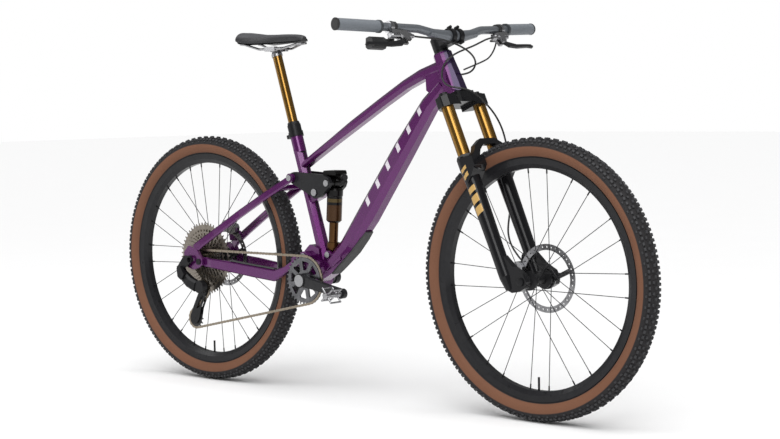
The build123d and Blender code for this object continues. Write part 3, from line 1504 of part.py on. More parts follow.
HEAD = seat_point(POST_TOP)
RAIL_Z = HEAD.Z + 11
RAIL_Y = 22
RAIL_RADIUS = 3.5
with BuildPart() as saddle_rails:
    for side in (-1, 1):
        route = [
            (HEAD.X + 112, side * 9, RAIL_Z + 14),
            (HEAD.X + 92, side * 10, RAIL_Z + 12),
            (HEAD.X + 42, side * RAIL_Y, RAIL_Z),
            (HEAD.X - 48, side * RAIL_Y, RAIL_Z),
            (HEAD.X - 96, side * 34, RAIL_Z + 15),
            (HEAD.X - 112, side * 38, RAIL_Z + 17),
        ]
        with BuildLine() as rail_line:
            FilletPolyline(*route, radius=[18, 30, 30, 14])
        with BuildSketch(Plane(origin=rail_line.line @ 0, z_dir=rail_line.line % 0)) as wire:
            Circle(RAIL_RADIUS)
        sweep(wire.sketch, path=rail_line.line)
    for side in (-1, 1):
        low, high = sorted((side * (RAIL_Y - 7), side * (RAIL_Y + 7)))
        plate(
            [
                (HEAD.X - 20, RAIL_Z - 7),
                (HEAD.X - 20, RAIL_Z + 7),
                (HEAD.X + 20, RAIL_Z + 7),
                (HEAD.X + 20, RAIL_Z - 7),
            ],
            low,
            high,
            2,
        )
    turned(
        [
            (0, POST_TOP - 11.9),
            (POST_RADIUS + 2, POST_TOP - 11.9),
            (POST_RADIUS + 2, POST_TOP - 4),
            (10, POST_TOP + 8),
            (0, POST_TOP + 8),
        ],
        seat_plane(0),
    )
    cross_rod(HEAD.X, RAIL_Z - 3, -RAIL_Y, RAIL_Y, 6)
write(saddle_rails, "saddle_rails")

SADDLE_STATIONS = [
    (-206, 12, 1025, 1013),
    (-230, 18, 1030, 1010),
    (-285, 23, 1033, 1009),
    (-335, 34, 1034, 1007),
    (-385, 56, 1036, 1006),
    (-425, 63, 1041, 1011),
    (-446, 50, 1043, 1020),
    (-456, 34, 1042, 1027),
]
BASE_THICKNESS = 4


def saddle_section(x, half_width, top, edge, drop):
    """Arched outline across the saddle, lowered by a drop for the base beneath."""
    with BuildSketch(Plane(origin=(x, 0, 0), x_dir=(0, 1, 0), z_dir=(1, 0, 0))) as section:
        with BuildLine():
            Polyline(
                (-half_width, edge - drop),
                (-half_width * 0.97, edge + 9 - drop),
                (-half_width * 0.7, top - 4 - drop),
                (0, top - drop),
                (half_width * 0.7, top - 4 - drop),
                (half_width * 0.97, edge + 9 - drop),
                (half_width, edge - drop),
                (half_width * 0.75, edge + 4 - drop),
                (0, edge + 8 - drop),
                (-half_width * 0.75, edge + 4 - drop),
                close=True,
            )
        make_face()
    return section.sketch


with BuildPart() as saddle_pad:
    loft([saddle_section(*station, 0) for station in SADDLE_STATIONS], ruled=True)
write(saddle_pad, "saddle_pad")


def base_section(x, half_width, edge):
    """Thin arched shell that carries the padding."""
    w = half_width * 0.9
    with BuildSketch(Plane(origin=(x, 0, 0), x_dir=(0, 1, 0), z_dir=(1, 0, 0))) as section:
        with BuildLine():
            Polyline(
                (-w, edge - 3),
                (-w * 0.8, edge + 3.4),
                (0, edge + 7.5),
                (w * 0.8, edge + 3.4),
                (w, edge - 3),
                (w * 0.75, edge - 1),
                (0, edge + 7.5 - BASE_THICKNESS),
                (-w * 0.75, edge - 1),
                close=True,
            )
        make_face()
    return section.sketch


with BuildPart() as saddle_base:
    loft([base_section(x, half, edge) for x, half, _, edge in SADDLE_STATIONS], ruled=True)
write(saddle_base, "saddle_base")

# ---------------------------------------------------------------- brake hoses and dropper cable
rear_hose_route = [
    on_grip(MASTER_AHEAD, 0, 29.5),
    on_grip(MASTER_AHEAD + 1, -1, 8),
    (366, -100, 997),
    (381, -62, 990),
    (392, -22, 976),
    (392, 18, 958),
    (382, 50, 937),
    (366, 60, 917),
    (349, 53, 905),
    (334, 38, 903),
]
dropper_route = [
    beside_bar(GRIP_PLANE, 2, -33.5, POD_ALONG - 6, 1),
    (331, 196, 979),
    (343, 168, 961),
    (357, 134, 947),
    (367, 104, 940),
    (367, 80, 933),
    (358, 64, 926),
    (341, 46, 916),
]
with BuildPart() as frame_hoses:
    hose(rear_hose_route, HOSE_RADIUS)
    hose(dropper_route, 2.2)
write(frame_hoses, "frame_hoses")

front_hose_route = [
    on_grip(MASTER_AHEAD, 0, 29.5, 1),
    on_grip(MASTER_AHEAD + 1, -1, 8, 1),
    steer_point(60, 100, 672),
    steer_point(62, 62, 660),
    steer_point(58, 24, 651),
    steer_point(44, -10, 643),
    steer_point(22, -31, 630),
    steer_point(2, -34, 607),
    steer_point(-1, -36, 582),
    steer_point(18, -39, 561),
    steer_point(38, -26, 548),
    steer_point(47, -2, 538),
    steer_point(48, 24, 522),
    steer_point(46, 50, 498),
    steer_point(43, 76, 466),
    steer_point(36, 94, 428),
    steer_point(28, 99, 388),
    steer_point(18, 99, 338),
    steer_point(4, 98, 288),
    steer_point(-14, 91, 240),
    steer_point(-28, 77, 200),
    steer_point(-36, 60, 162),
    steer_point(-31, 48, 124),
    steer_point(-19, 46.5, 87),
    steer_point(-13, 46.5, 75),
]
with BuildPart() as front_brake_hose:
    hose(front_hose_route, HOSE_RADIUS)
write(front_brake_hose, "front_brake_hose")
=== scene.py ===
from math import asin, atan2, cos, hypot, pi, radians, sin

import bpy
from mathutils import Matrix, Vector


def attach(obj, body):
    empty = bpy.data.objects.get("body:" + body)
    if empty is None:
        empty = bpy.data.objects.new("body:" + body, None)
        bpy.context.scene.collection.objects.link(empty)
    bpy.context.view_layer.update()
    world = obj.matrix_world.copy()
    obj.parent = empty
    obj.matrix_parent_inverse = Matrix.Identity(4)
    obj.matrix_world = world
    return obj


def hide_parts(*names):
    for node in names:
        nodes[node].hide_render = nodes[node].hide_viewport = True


# Looks of a full-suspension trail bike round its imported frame.
# Metres; +X forward, +Y to the rider's left, +Z up; the origin is on the ground midway between the axles.
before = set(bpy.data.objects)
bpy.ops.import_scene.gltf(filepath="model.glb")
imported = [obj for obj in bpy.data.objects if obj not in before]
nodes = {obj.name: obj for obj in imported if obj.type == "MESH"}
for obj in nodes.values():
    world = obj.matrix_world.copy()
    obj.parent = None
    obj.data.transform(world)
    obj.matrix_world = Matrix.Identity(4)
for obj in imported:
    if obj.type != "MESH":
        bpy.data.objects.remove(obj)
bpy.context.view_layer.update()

MM = 0.001
AXLES = {"front": 0.618, "rear": -0.618}
AXLE_HEIGHT = 0.370
BOTTOM_BRACKET = (-0.174, 0, 0.330)
HEAD_LEAN = radians(66.5)
STEER_FOOT = Vector((0.57123, 0, 0.349664))
STEER_UP = Vector((-cos(HEAD_LEAN), 0, sin(HEAD_LEAN)))
STEER_AHEAD = Vector((sin(HEAD_LEAN), 0, cos(HEAD_LEAN)))
DOWN_TUBE_LEAN = radians(52.7)
DOWN_TUBE_FOOT = Vector((0.030, 0, 0.519))
GRIP_FOOT = Vector((0.333332, -0.130, 1.022825))
GRIP_ALONG = Vector((-0.139291, -0.989702, 0.03299))
GRIP_REACH = 0.27281
SHOCK_FOOT = Vector((-0.112, 0, 0.403))
SHOCK_UP = Vector((0.068466, 0, 0.997653))
RIGHT = (0, -1, 0)
MIDDLE = (0, 0, 0)
FAR = 0.2  # open upper end of a range that only needs a lower one


# ---------------------------------------------------------------- shader building
class Shader:
    """One procedural material, built node by node round a Principled shader."""

    def __init__(self, name, color, roughness, metallic=0.0, **more):
        self.material = bpy.data.materials.new(name)
        self.material.use_nodes = True
        self.tree = self.material.node_tree
        self.bsdf = self.tree.nodes["Principled BSDF"]
        self.bsdf.inputs["Base Color"].default_value = (*color, 1)
        self.bsdf.inputs["Roughness"].default_value = roughness
        self.bsdf.inputs["Metallic"].default_value = metallic
        for socket, value in more.items():
            self.bsdf.inputs[socket.replace("_", " ")].default_value = value
        self.place = self.add("ShaderNodeTexCoord").outputs["Object"]

    def add(self, kind, **settings):
        node = self.tree.nodes.new(kind)
        for key, value in settings.items():
            setattr(node, key, value)
        return node

    def feed(self, socket, value):
        if isinstance(value, bpy.types.NodeSocket):
            self.tree.links.new(value, socket)
        else:
            socket.default_value = value

    def math(self, operation, *values):
        node = self.add("ShaderNodeMath", operation=operation)
        for socket, value in zip(node.inputs, values):
            self.feed(socket, value)
        return node.outputs[0]

    def along(self, direction, origin=(0, 0, 0), mirrored=False):
        """Distance of the surface point along a direction from an origin, in metres."""
        point = self.place
        if mirrored:
            split = self.add("ShaderNodeSeparateXYZ")
            self.feed(split.inputs[0], point)
            join = self.add("ShaderNodeCombineXYZ")
            self.feed(join.inputs[0], split.outputs[0])
            self.feed(join.inputs[1], self.math("MULTIPLY", self.math("ABSOLUTE", split.outputs[1]), -1.0))
            self.feed(join.inputs[2], split.outputs[2])
            point = join.outputs[0]
        node = self.add("ShaderNodeVectorMath", operation="DOT_PRODUCT")
        self.feed(node.inputs[0], point)
        node.inputs[1].default_value = tuple(direction)
        return self.math("SUBTRACT", node.outputs["Value"], Vector(origin).dot(Vector(direction)))

    def between(self, value, low, high, soft=0.0004):
        """1 inside a range, 0 outside, with a soft edge."""
        rise = self.add("ShaderNodeMapRange", interpolation_type="LINEAR")
        for key, item in (("Value", value), ("From Min", low - soft), ("From Max", low + soft)):
            self.feed(rise.inputs[key], item)
        fall = self.add("ShaderNodeMapRange", interpolation_type="LINEAR")
        for key, item in (("Value", value), ("From Min", high + soft), ("From Max", high - soft)):
            self.feed(fall.inputs[key], item)
        return self.math("MULTIPLY", rise.outputs[0], fall.outputs[0])

    def noise(self, scale, detail=4.0, distortion=0.0):
        node = self.add("ShaderNodeTexNoise")
        self.feed(node.inputs["Vector"], self.place)
        node.inputs["Scale"].default_value = scale
        node.inputs["Detail"].default_value = detail
        node.inputs["Distortion"].default_value = distortion
        return node.outputs["Fac"]

    def mix(self, share, first, second):
        node = self.add("ShaderNodeMix", data_type="RGBA")
        self.feed(node.inputs["Factor"], share)
        for key, value in (("A", first), ("B", second)):
            socket = [s for s in node.inputs if s.name == key and s.type == "RGBA"][0]
            self.feed(socket, (*value, 1) if isinstance(value, tuple) else value)
        return [s for s in node.outputs if s.type == "RGBA"][0]

    def tint(self, color):
        self.feed(self.bsdf.inputs["Base Color"], color)
        return self

    def vary(self, low, high, scale, detail=4.0):
        """Roughness that drifts with a noise."""
        spread = self.add("ShaderNodeMapRange")
        self.feed(spread.inputs["Value"], self.noise(scale, detail))
        spread.inputs["To Min"].default_value = low
        spread.inputs["To Max"].default_value = high
        self.feed(self.bsdf.inputs["Roughness"], spread.outputs[0])
        return self

    def bump(self, height, strength, distance):
        node = self.add("ShaderNodeBump")
        self.feed(node.inputs["Height"], height)
        node.inputs["Strength"].default_value = strength
        node.inputs["Distance"].default_value = distance
        self.feed(self.bsdf.inputs["Normal"], node.outputs[0])
        return self


def dash_mask(shader, along, across, first, last, pitch, length, half_height, slant):
    """Row of plain slanted blocks: the share of the surface that they cover."""
    leaned = shader.math("SUBTRACT", along, shader.math("MULTIPLY", across, slant))
    cell = shader.math("MODULO", shader.math("SUBTRACT", leaned, first), pitch)
    inside = shader.between(cell, 0.0, length)
    row = shader.between(leaned, first, last)
    band = shader.between(across, -half_height, half_height)
    return shader.math("MULTIPLY", shader.math("MULTIPLY", inside, row), band)


# ---------------------------------------------------------------- paints and metals
PURPLE = (0.088, 0.004, 0.094)
PURPLE_DEEP = (0.050, 0.002, 0.060)
PURPLE_BRIGHT = (0.125, 0.008, 0.130)
PURPLE_METALLIC = 0.6
HEAD_TUBE_DARK = (0.020, 0.005, 0.045)
PALE = (0.62, 0.58, 0.63)
PALE_METALLIC_DROP = -0.55  # the blocks are paint, not metal
BLACK = (0.0065, 0.0065, 0.0072)
GOLD = (0.46, 0.29, 0.10)
BRONZE = (0.24, 0.130, 0.028)


# Where paint changes, as distances in metres: ahead of the steering axis, above the down tube's lower line,
# and out from the bike's middle plane.
HEAD_TUBE_FACE = 0.0185
BLOCK_LINE_RISE = 0.009
DOWN_TUBE_SIDE = 0.0205
FORK_LEG_SIDE = 0.0745
FORK_LEG_AHEAD = 0.010


def flaked_purple(name):
    """Violet metallic base with flake and slow drift, under clear coat."""
    shader = Shader(name, PURPLE, 0.28, PURPLE_METALLIC, Coat_Weight=0.6, Coat_Roughness=0.04)
    flake = shader.noise(900.0, 2.0)
    drift = shader.noise(6.0, 2.0)
    base = shader.mix(flake, PURPLE, PURPLE_BRIGHT)
    return shader, shader.mix(shader.math("MULTIPLY", drift, 0.6), base, PURPLE_DEEP)


def frame_paint():
    """Purple with a darker head tube front and a row of pale blocks along the down tube."""
    shader, base = flaked_purple("frame_paint")
    ahead = shader.along(STEER_AHEAD, STEER_FOOT)
    front_face = shader.between(ahead, HEAD_TUBE_FACE, FAR, soft=0.002)
    base = shader.mix(front_face, base, HEAD_TUBE_DARK)
    run = Vector((cos(DOWN_TUBE_LEAN), 0, sin(DOWN_TUBE_LEAN)))
    rise = Vector((-sin(DOWN_TUBE_LEAN), 0, cos(DOWN_TUBE_LEAN)))
    along = shader.along(run, DOWN_TUBE_FOOT)
    across = shader.along(rise, DOWN_TUBE_FOOT + rise * BLOCK_LINE_RISE)
    shape = {"half_height": 0.0125, "slant": 0.45}
    dashes = dash_mask(shader, along, across, first=0.040, last=0.386, pitch=0.0625, length=0.015, **shape)
    sides = shader.between(shader.along(RIGHT, MIDDLE, mirrored=True), DOWN_TUBE_SIDE, FAR)
    dashes = shader.math("MULTIPLY", dashes, sides)
    shader.tint(shader.mix(dashes, base, PALE))
    metallic = shader.math("MULTIPLY_ADD", dashes, PALE_METALLIC_DROP, PURPLE_METALLIC)
    shader.feed(shader.bsdf.inputs["Metallic"], metallic)
    shader.vary(0.22, 0.32, 40.0)
    return shader.material


def stay_paint():
    """The same purple on the stays, without the blocks."""
    shader, base = flaked_purple("stay_paint")
    return shader.tint(base).vary(0.22, 0.32, 40.0).material


def black_base(name):
    """Deep gloss black with a barely visible mottle."""
    shader = Shader(name, BLACK, 0.14, 0.0, Specular_IOR_Level=0.16, Coat_Weight=0.10, Coat_Roughness=0.03)
    return shader, shader.mix(shader.noise(500.0, 2.0), (0.005, 0.005, 0.006), (0.010, 0.010, 0.011))


def gloss_black():
    """The deep black without any blocks."""
    shader, base = black_base("gloss_black")
    return shader.tint(base).vary(0.10, 0.2, 25.0).material


def fork_paint():
    """Gloss black legs with two groups of slanted gold blocks on their outer faces."""
    shader, base = black_base("fork_paint")
    up = shader.along(STEER_UP, STEER_FOOT)
    ahead = shader.along(STEER_AHEAD, STEER_FOOT + STEER_AHEAD * FORK_LEG_AHEAD)
    shape = {"half_height": 0.012, "slant": 0.35}
    upper = dash_mask(shader, up, ahead, first=0.306, last=0.334, pitch=0.019, length=0.011, **shape)
    lower = dash_mask(shader, up, ahead, first=0.205, last=0.280, pitch=0.030, length=0.021, **shape)
    blocks = shader.math("MAXIMUM", upper, lower)
    outer = shader.between(shader.along(RIGHT, MIDDLE, mirrored=True), FORK_LEG_SIDE, FAR)
    blocks = shader.math("MULTIPLY", blocks, outer)
    shader.tint(shader.mix(blocks, base, GOLD))
    return shader.vary(0.10, 0.2, 25.0).material


def hard_gold():
    """Bronze-gold hard coat with faint turning marks."""
    shader = Shader("hard_gold", BRONZE, 0.16, 0.92)
    shader.tint(shader.mix(shader.noise(9.0, 3.0), (0.19, 0.098, 0.019), (0.30, 0.168, 0.042)))
    return shader.vary(0.12, 0.22, 120.0).material


def shaft_bronze():
    """Darker bronze of the damper shaft."""
    shader = Shader("shaft_bronze", (0.085, 0.042, 0.014), 0.18, 0.85)
    shader.tint(shader.mix(shader.noise(14.0, 3.0), (0.045, 0.019, 0.005), (0.090, 0.042, 0.012)))
    return shader.vary(0.14, 0.26, 120.0).material


def satin(name, dark, light, low, high, metallic, scale=300.0, **more):
    """Anodised, moulded or brushed surface: a fine grain in colour and roughness."""
    shader = Shader(name, dark, low, metallic, **more)
    grain = shader.noise(scale, 6.0)
    shader.tint(shader.mix(grain, dark, light))
    shader.vary(low, high, scale * 0.5)
    return shader.bump(grain, strength=0.08, distance=0.0002).material


RING_RADIANS = 9000.0  # phase of the turning marks per metre of radius


def turned_steel(name, dark, light, centre):
    """Ground disc or cog: fine circular lay about a cross axle."""
    shader = Shader(name, dark, 0.3, 1.0)
    across = shader.math("POWER", shader.along((1, 0, 0), centre), 2.0)
    up = shader.math("POWER", shader.along((0, 0, 1), centre), 2.0)
    radius = shader.math("SQRT", shader.math("ADD", across, up))
    rings = shader.math("SINE", shader.math("MULTIPLY", radius, RING_RADIANS))
    share = shader.math("MULTIPLY_ADD", rings, 0.25, shader.noise(80.0))
    shader.tint(shader.mix(share, dark, light))
    return shader.vary(0.22, 0.4, 60.0).material


TREAD_RADIUS, BEAD_RADIUS = 0.3445, 0.3195  # the brown sidewall lies between them


def tyre_casing():
    """Brown woven sidewall that turns to dark rubber at the tread."""
    shader = Shader("tyre_casing", (0.14, 0.07, 0.04), 0.75, Specular_IOR_Level=0.25)
    up = shader.along((0, 0, 1), (0, 0, AXLE_HEIGHT))
    front = shader.along((1, 0, 0), (AXLES["front"], 0, 0))
    rear = shader.along((1, 0, 0), (AXLES["rear"], 0, 0))
    nearer = shader.math("MINIMUM", shader.math("ABSOLUTE", front), shader.math("ABSOLUTE", rear))
    square = shader.math("ADD", shader.math("POWER", nearer, 2.0), shader.math("POWER", up, 2.0))
    radius = shader.math("SQRT", square)
    weave = shader.noise(700.0, 3.0)
    brown = shader.mix(weave, (0.120, 0.050, 0.026), (0.205, 0.092, 0.052))
    dirt = shader.noise(18.0, 4.0)
    brown = shader.mix(shader.math("MULTIPLY", dirt, 0.4), brown, (0.10, 0.045, 0.026))
    tread = shader.between(radius, TREAD_RADIUS, 0.5, soft=0.0012)
    bead = shader.between(radius, 0.1, BEAD_RADIUS, soft=0.0006)
    shader.tint(shader.mix(shader.math("MAXIMUM", tread, bead), brown, (0.016, 0.015, 0.016)))
    shader.vary(0.62, 0.85, 300.0)
    return shader.bump(weave, strength=0.25, distance=0.0004).material


def tyre_knob():
    """Dark grained rubber of the tread."""
    shader = Shader("tyre_knob", (0.030, 0.030, 0.032), 0.7, Specular_IOR_Level=0.3)
    grain = shader.noise(350.0, 5.0)
    shader.tint(shader.mix(grain, (0.018, 0.018, 0.020), (0.046, 0.046, 0.049)))
    shader.vary(0.55, 0.75, 200.0)
    return shader.bump(grain, strength=0.15, distance=0.0003).material


RIB_PITCH = 0.0032


def grip_rubber():
    """Slate rubber with fine ribs, a dark inner collar and a dark end cap."""
    shader = Shader("grip_rubber", (0.11, 0.125, 0.14), 0.55)
    along = shader.along(GRIP_ALONG, GRIP_FOOT, mirrored=True)
    ribs = shader.math("SINE", shader.math("MULTIPLY", along, 2 * pi / RIB_PITCH))
    grain = shader.noise(260.0, 5.0)
    base = shader.mix(grain, (0.120, 0.134, 0.150), (0.175, 0.192, 0.214))
    collar = shader.between(along, 0.1, GRIP_REACH - 0.1361)
    base = shader.mix(collar, base, (0.030, 0.034, 0.038))
    cap = shader.between(along, GRIP_REACH - 0.0021, 1.0)
    shader.tint(shader.mix(cap, base, (0.008, 0.008, 0.008)))
    shader.vary(0.45, 0.65, 90.0)
    body = shader.between(along, GRIP_REACH - 0.134, GRIP_REACH - 0.0025)
    return shader.bump(shader.math("MULTIPLY", ribs, body), strength=0.6, distance=0.0006).material


SHOCK_SLEEVE, SHOCK_BAND = (0.097, 0.142), (0.150, 0.160)


def shock_body():
    """Dark can with a bronze sleeve and one plain gold band."""
    shader = Shader("shock_body", (0.010, 0.009, 0.009), 0.2, 0.5, Specular_IOR_Level=0.35)
    along = shader.along(SHOCK_UP, SHOCK_FOOT)
    sleeve = shader.between(along, *SHOCK_SLEEVE)
    band = shader.between(along, *SHOCK_BAND)
    base = shader.mix(sleeve, (0.005, 0.0045, 0.0045), (0.050, 0.022, 0.007))
    shader.tint(shader.mix(band, base, (0.070, 0.048, 0.016)))
    return shader.vary(0.16, 0.3, 60.0).material


def saddle_cover():
    """Grained grey cover, darker low on the sides."""
    shader = Shader("saddle_cover", (0.05, 0.05, 0.056), 0.5)
    grain = shader.add("ShaderNodeTexVoronoi")
    shader.feed(grain.inputs["Vector"], shader.place)
    grain.inputs["Scale"].default_value = 900.0
    up = shader.along((0, 0, 1))
    top = shader.between(up, 1.0265, 1.2, soft=0.004)
    base = shader.mix(shader.noise(30.0), (0.045, 0.045, 0.050), (0.075, 0.076, 0.082))
    shader.tint(shader.mix(top, (0.014, 0.014, 0.016), base))
    shader.vary(0.40, 0.55, 60.0)
    return shader.bump(grain.outputs["Distance"], strength=0.35, distance=0.0005).material


def carbon(name, dark, light):
    """Dark laminate with a faint drift under gloss."""
    shader = Shader(name, dark, 0.28, 0.0, Specular_IOR_Level=0.18, Coat_Weight=0.10, Coat_Roughness=0.1)
    shader.tint(shader.mix(shader.noise(35.0, 5.0, 1.5), dark, light))
    return shader.vary(0.22, 0.38, 45.0).material


def paint_node(name, material):
    """Gives a CAD node one material."""
    mesh = nodes[name].data
    mesh.materials.clear()
    mesh.materials.append(material)


def soften(name, width, segments=3, angle=35):
    """Rounds a CAD node's hard edges."""
    bevel = nodes[name].modifiers.new("edges", "BEVEL")
    bevel.width = width
    bevel.segments = segments
    bevel.limit_method = "ANGLE"
    bevel.angle_limit = radians(angle)
    bevel.harden_normals = True


# ---------------------------------------------------------------- new pieces
def make_piece(name, points, faces, material, body, stands_for=(), smooth=True):
    """One mesh in the row frame that rides on a body and stands for CAD nodes."""
    mesh = bpy.data.meshes.new(name)
    mesh.from_pydata([tuple(point) for point in points], [], faces)
    mesh.validate()
    mesh.update()
    for polygon in mesh.polygons:
        polygon.use_smooth = smooth
    piece = bpy.data.objects.new(name, mesh)
    bpy.context.scene.collection.objects.link(piece)
    mesh.materials.append(material)
    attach(piece, body)
    if stands_for:
        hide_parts(*stands_for)
    return piece


# Half outline of the casing from bead to crown: radius and side distance, in millimetres.
CASING = [
    (308.5, 13.2), (316, 13.8), (319, 18.5), (324, 23.6), (331, 27.6), (339, 29.4),
    (346, 29.0), (352, 26.6), (357, 22.0), (361, 15.5), (363.4, 8.0), (364.2, 0.0),
]


CASING_STEPS = 180


def tyre_casing_mesh(axle_x):
    """Full turn of the casing outline."""
    outline = CASING + [(radius, -y) for radius, y in CASING[-2::-1]]
    vertices = []
    for step in range(CASING_STEPS):
        angle = 2 * pi * step / CASING_STEPS
        for radius, y in outline:
            x = axle_x + radius * MM * cos(angle)
            z = AXLE_HEIGHT + radius * MM * sin(angle)
            vertices.append(Vector((x, y * MM, z)))
    count = len(outline)
    faces = []
    for step in range(CASING_STEPS):
        for k in range(count):
            a = step * count + k
            b = step * count + (k + 1) % count
            c = (step + 1) % CASING_STEPS * count
            faces.append((a, b, c + (k + 1) % count, c + k))
    return vertices, faces


# Each row of knobs, in millimetres and degrees:
# radius, side distance, lean of its outward normal, length, width, height, shift in pitches.
KNOB_ROWS = [
    (363.6, 5.2, 8, 8.5, 7.2, 4.6, 0.0),
    (362.2, 12.6, 24, 7.0, 6.2, 4.6, 0.5),
    (357.6, 21.0, 48, 9.0, 6.4, 4.6, 0.0),
    (357.6, 21.0, 48, 9.0, 6.4, 4.6, 0.5),
    (351.8, 26.4, 68, 7.0, 4.6, 2.6, 0.25),
]
KNOB_PITCHES = 82
KNOB_ROOT = -1.5
KNOB_SHOULDER = 0.8  # share of the height where the sides turn in
LEFT_SHIFT = 0.25  # the two sides of the tread are staggered by this share of a pitch
SQUARE = ((-1, -1), (1, -1), (1, 1), (-1, 1))


def knob_mesh(axle_x):
    """All tread knobs of one tyre."""
    vertices, faces = [], []
    for radius, y, lean, length, width, height, shift in KNOB_ROWS:
        for side in (-1, 1):
            for step in range(KNOB_PITCHES):
                stagger = LEFT_SHIFT if side > 0 else 0.0
                angle = 2 * pi * (step + shift + stagger) / KNOB_PITCHES
                outward = Vector((cos(angle), 0, sin(angle)))
                tangent = Vector((-sin(angle), 0, cos(angle)))
                normal = outward * cos(radians(lean)) + Vector((0, side * sin(radians(lean)), 0))
                across = normal.cross(tangent)
                centre = Vector((axle_x, side * y * MM, AXLE_HEIGHT)) + outward * radius * MM
                first = len(vertices)
                for level, share in ((KNOB_ROOT, 1.0), (height * KNOB_SHOULDER, 0.88), (height, 0.72)):
                    for u, v in SQUARE:
                        flat = tangent * u * length * share / 2 + across * v * width * share / 2
                        vertices.append(centre + (flat + normal * level) * MM)
                for level in (0, 4):
                    for k in range(4):
                        a = first + level + k
                        b = first + level + (k + 1) % 4
                        faces.append((a, b, b + 4, a + 4))
                faces.append((first + 8, first + 9, first + 10, first + 11))
                faces.append((first + 3, first + 2, first + 1, first))
    return vertices, faces


def build_tyres(casing_material, knob_material):
    """A casing and its knobs on each wheel."""
    for name, axle_x in AXLES.items():
        body = f"{name}_wheel"
        node = f"{name}_tyre"
        vertices, faces = tyre_casing_mesh(axle_x)
        make_piece(f"{name}_tyre_casing", vertices, faces, casing_material, body, (node,))
        vertices, faces = knob_mesh(axle_x)
        make_piece(
            f"{name}_tyre_knobs", vertices, faces, knob_material, body, (node,), smooth=False
        )


# Chain: each wheel it runs round, as (x, z, teeth, turn, y), in millimetres.
CHAIN_WHEELS = [
    (-174, 330, 34, 1, -53.0),
    (-632, 190, 14, 1, -59.05),
    (-596, 278, 12, -1, -59.05),
    (-618, 370, 14, 1, -59.05),
]
PITCH = 12.7
ARC_STEPS = 40
RUN_STEPS = 60
END_STEPS = 6
WAIST = 0.72  # half height of a plate's middle as a share of its ends
# Near face and far face from the chain's middle, and half height or radius, in millimetres.
INNER_PLATE = (1.2, 1.62, 3.75)
OUTER_PLATE = (1.66, 2.08, 3.85)
PIN = (1.2, 2.1, 1.75)
PIN_SIDES = 10


def pitch_radius(teeth):
    """Radius of the circle that the chain's pins follow."""
    return PITCH / (2 * sin(pi / teeth))


def chain_line():
    """Closed route of the chain's pins as short steps of (x, y, z) in millimetres."""
    wheels = [(x, z, pitch_radius(teeth), turn, y) for x, z, teeth, turn, y in CHAIN_WHEELS]
    runs = []
    for (x0, z0, r0, t0, y0), (x1, z1, r1, t1, y1) in zip(wheels, wheels[1:] + wheels[:1]):
        gap = hypot(x1 - x0, z1 - z0)
        angle = atan2(z1 - z0, x1 - x0) - asin((t0 * r0 - t1 * r1) / gap)
        left = (-sin(angle), cos(angle))
        start = Vector((x0 + t0 * r0 * left[0], y0, z0 + t0 * r0 * left[1]))
        end = Vector((x1 + t1 * r1 * left[0], y1, z1 + t1 * r1 * left[1]))
        runs.append((start, end))
    route = []
    for number, (x, z, radius, turn, y) in enumerate(wheels):
        arrive, leave = runs[number - 1][1], runs[number][0]
        start = atan2(arrive.z - z, arrive.x - x)
        sweep = (turn * (start - atan2(leave.z - z, leave.x - x))) % (2 * pi)
        for k in range(ARC_STEPS):
            angle = start - turn * sweep * k / ARC_STEPS
            route.append(Vector((x + radius * cos(angle), y, z + radius * sin(angle))))
        for k in range(RUN_STEPS):
            route.append(leave.lerp(runs[number][1], k / RUN_STEPS))
    return route


def spaced(route, step):
    """Points at equal distances round a closed route."""
    total = sum((route[(k + 1) % len(route)] - route[k]).length for k in range(len(route)))
    count = 2 * round(total / step / 2)
    gap = total / count
    places, target, travelled = [], 0.0, 0.0
    for k in range(len(route)):
        here, after = route[k], route[(k + 1) % len(route)]
        length = (after - here).length
        while target < travelled + length and len(places) < count:
            places.append(here.lerp(after, (target - travelled) / length))
            target += gap
        travelled += length
    return places


def prism_faces(count):
    """Two ends and the sides between two rings of the same number of points."""
    faces = [tuple(range(count)), tuple(range(count, 2 * count))[::-1]]
    faces += [(k, k + count, (k + 1) % count + count, (k + 1) % count) for k in range(count)]
    return faces


def link_plate(start, end, y_low, y_high, half):
    """One waisted link plate between two pins."""
    along = (end - start).normalized()
    up = along.cross(Vector((0, 1, 0))).normalized()
    outline = []
    for centre, side in ((start, -1), (end, 1)):
        for k in range(END_STEPS + 1):
            angle = -side * pi / 2 + pi * k / END_STEPS
            outline.append(centre + along * half * cos(angle) + up * half * sin(angle))
        outline.append((start + end) / 2 + up * (half * WAIST * side))
    vertices = [point + Vector((0, y_low, 0)) for point in outline]
    vertices += [point + Vector((0, y_high, 0)) for point in outline]
    return vertices, prism_faces(len(outline))


def pin_head(centre, y_low, y_high, radius):
    """One pin's end as a short cylinder along y."""
    vertices = []
    for y in (y_low, y_high):
        for k in range(PIN_SIDES):
            angle = 2 * pi * k / PIN_SIDES
            vertices.append(centre + Vector((radius * cos(angle), y, radius * sin(angle))))
    return vertices, prism_faces(PIN_SIDES)


def build_chain(material):
    """Waisted plates in alternating inner and outer pairs, with pin heads."""
    pins = spaced(chain_line(), PITCH)
    vertices, faces = [], []

    def join(piece):
        first = len(vertices)
        vertices.extend(piece[0])
        faces.extend(tuple(first + k for k in face) for face in piece[1])

    for number, pin in enumerate(pins):
        after = pins[(number + 1) % len(pins)]
        low, high, half = INNER_PLATE if number % 2 else OUTER_PLATE
        pin_low, pin_high, pin_radius = PIN
        for side in (-1, 1):
            join(link_plate(pin, after, side * low, side * high, half))
            join(pin_head(pin, side * pin_low, side * pin_high, pin_radius))
    vertices = [point * MM for point in vertices]
    make_piece(
        "chain_links", vertices, faces, material, "front_frame", ("chain",), smooth=False
    )


